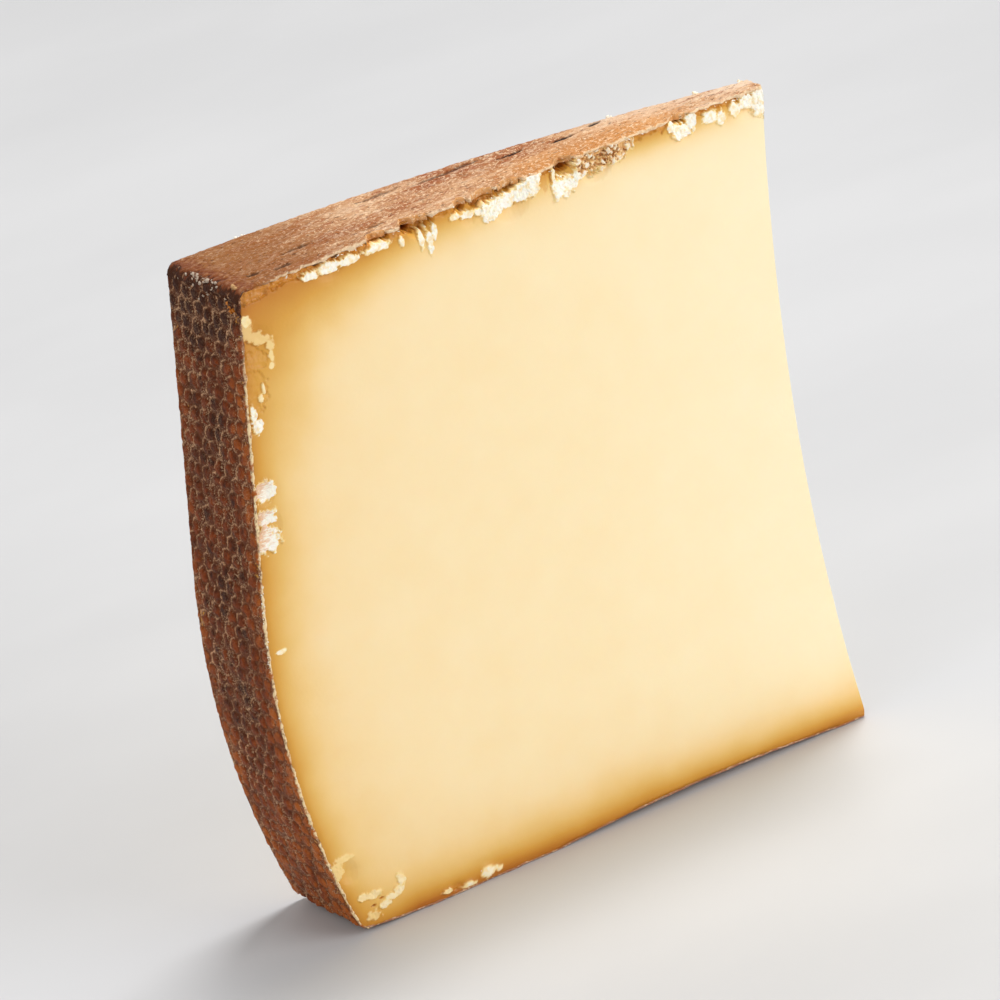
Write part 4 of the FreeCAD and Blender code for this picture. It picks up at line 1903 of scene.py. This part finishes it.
@dataclass
class Studio:
    """A pale floor, soft lamps and the camera."""

    form: CheeseForm
    target: tuple[float, float, float] = (-8.714, -10.35, 62.093)
    distance: float = 1000.0
    azimuth: float = -31.04
    elevation: float = 22.4
    roll: float = -9.0
    lens: float = 228.8
    floor_colour: Colour = (210, 210, 211)
    floor_size: float = 6000.0
    world_colour: Colour = (255, 254, 252)
    world_strength: float = 0.36
    lamps: tuple[Lamp, ...] = (
        Lamp("back", 125, 76, 900, 220, 5.2),
        Lamp("fill", -70, 25, 1000, 800, 2.2),
        Lamp("front", 35, 18, 1100, 900, 7.9),
        Lamp("rear", 160, 12, 1100, 900, 3.6),
    )

    def build(self) -> None:
        """Sets up everything that isn't part of the cheese."""
        self.lay_floor()
        self.fill_world()
        for lamp in self.lamps:
            self.hang(lamp)
        self.place_camera()
        bpy.context.scene.view_settings.view_transform = "Standard"

    def lay_floor(self) -> None:
        """Lays the floor under the wedge."""
        deselect()
        bpy.ops.mesh.primitive_plane_add(size=self.floor_size * MM, location=(0, 0, self.form.low.z * MM))
        floor = bpy.context.active_object
        floor.name = "floor"
        bench = NodeBench("pale_floor")
        floor.data.materials.append(bench.finish(self.matt(bench), 0.75, Specular_IOR_Level=0.2))

    def matt(self, bench: NodeBench) -> bpy.types.NodeSocket:
        """A pale colour with a faint unevenness."""
        tone = bench.noise((120, 60, 60), detail=3.0)
        pale = self.floor_colour
        return bench.blend(bench.span(tone, 0.3, 0.7), tuple(part - 5 for part in pale), pale)

    def fill_world(self) -> None:
        """Lights the scene evenly from all round, and shows the floor's colour to the camera."""
        world = bpy.data.worlds.new("studio")
        bpy.context.scene.world = world
        world.use_nodes = True
        tree = world.node_tree
        tree.nodes.clear()
        soft, seen = tree.nodes.new("ShaderNodeBackground"), tree.nodes.new("ShaderNodeBackground")
        soft.inputs["Color"].default_value = linear(self.world_colour)
        soft.inputs["Strength"].default_value = self.world_strength
        seen.inputs["Color"].default_value = linear(self.floor_colour)
        path = tree.nodes.new("ShaderNodeLightPath")
        mix = tree.nodes.new("ShaderNodeMixShader")
        output = tree.nodes.new("ShaderNodeOutputWorld")
        tree.links.new(path.outputs["Is Camera Ray"], mix.inputs[0])
        tree.links.new(soft.outputs[0], mix.inputs[1])
        tree.links.new(seen.outputs[0], mix.inputs[2])
        tree.links.new(mix.outputs[0], output.inputs["Surface"])

    def direction(self, azimuth: float, elevation: float) -> Vector:
        """Points from the wedge outwards at an azimuth and elevation in degrees."""
        a, e = math.radians(azimuth), math.radians(elevation)
        return Vector((math.sin(a) * math.cos(e), -math.cos(a) * math.cos(e), math.sin(e)))

    def hang(self, lamp: Lamp) -> None:
        """Hangs one lamp."""
        data = bpy.data.lights.new(lamp.name, "AREA")
        data.size = lamp.size * MM
        data.energy = lamp.power
        hung = bpy.data.objects.new(lamp.name, data)
        out = self.direction(lamp.azimuth, lamp.elevation)
        middle = (self.form.low + self.form.high) / 2
        hung.location = (middle + out * lamp.far) * MM
        hung.rotation_euler = out.to_track_quat("Z", "Y").to_euler()
        bpy.context.scene.collection.objects.link(hung)

    def place_camera(self) -> None:
        """Places the camera in front of the cut, a little to the left of it and above."""
        data = bpy.data.cameras.new("camera")
        data.lens = self.lens
        data.sensor_width = 36.0
        data.clip_start, data.clip_end = 0.05, 20.0
        camera = bpy.data.objects.new("camera", data)
        back = self.direction(self.azimuth, self.elevation)
        right = (-back).cross(Vector((0, 0, 1))).normalized()
        up = right.cross(-back)
        roll = math.radians(self.roll)
        level = right * math.cos(roll) + up * math.sin(roll)
        upright = -right * math.sin(roll) + up * math.cos(roll)
        turn = Matrix((level, upright, back)).transposed().to_4x4()
        camera.matrix_world = Matrix.Translation((Vector(self.target) + back * self.distance) * MM) @ turn
        bpy.context.scene.collection.objects.link(camera)
        bpy.context.scene.camera = camera


def main() -> None:
    """Builds the dressed wedge and its studio."""
    logging.basicConfig(level=logging.INFO, format="%(name)s: %(message)s")
    deselect()
    form = CheeseForm.of_node(NODE)
    paste = PasteCore(form).build()
    HeelRind(form).build()
    UpperRind(form).build()
    LowerRind(form).build()
    TornCrumbs(form).build()
    RimBits(form).build()
    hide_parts(NODE)
    Studio(form).build()
    deselect()


if __name__ == "__main__":
    main()
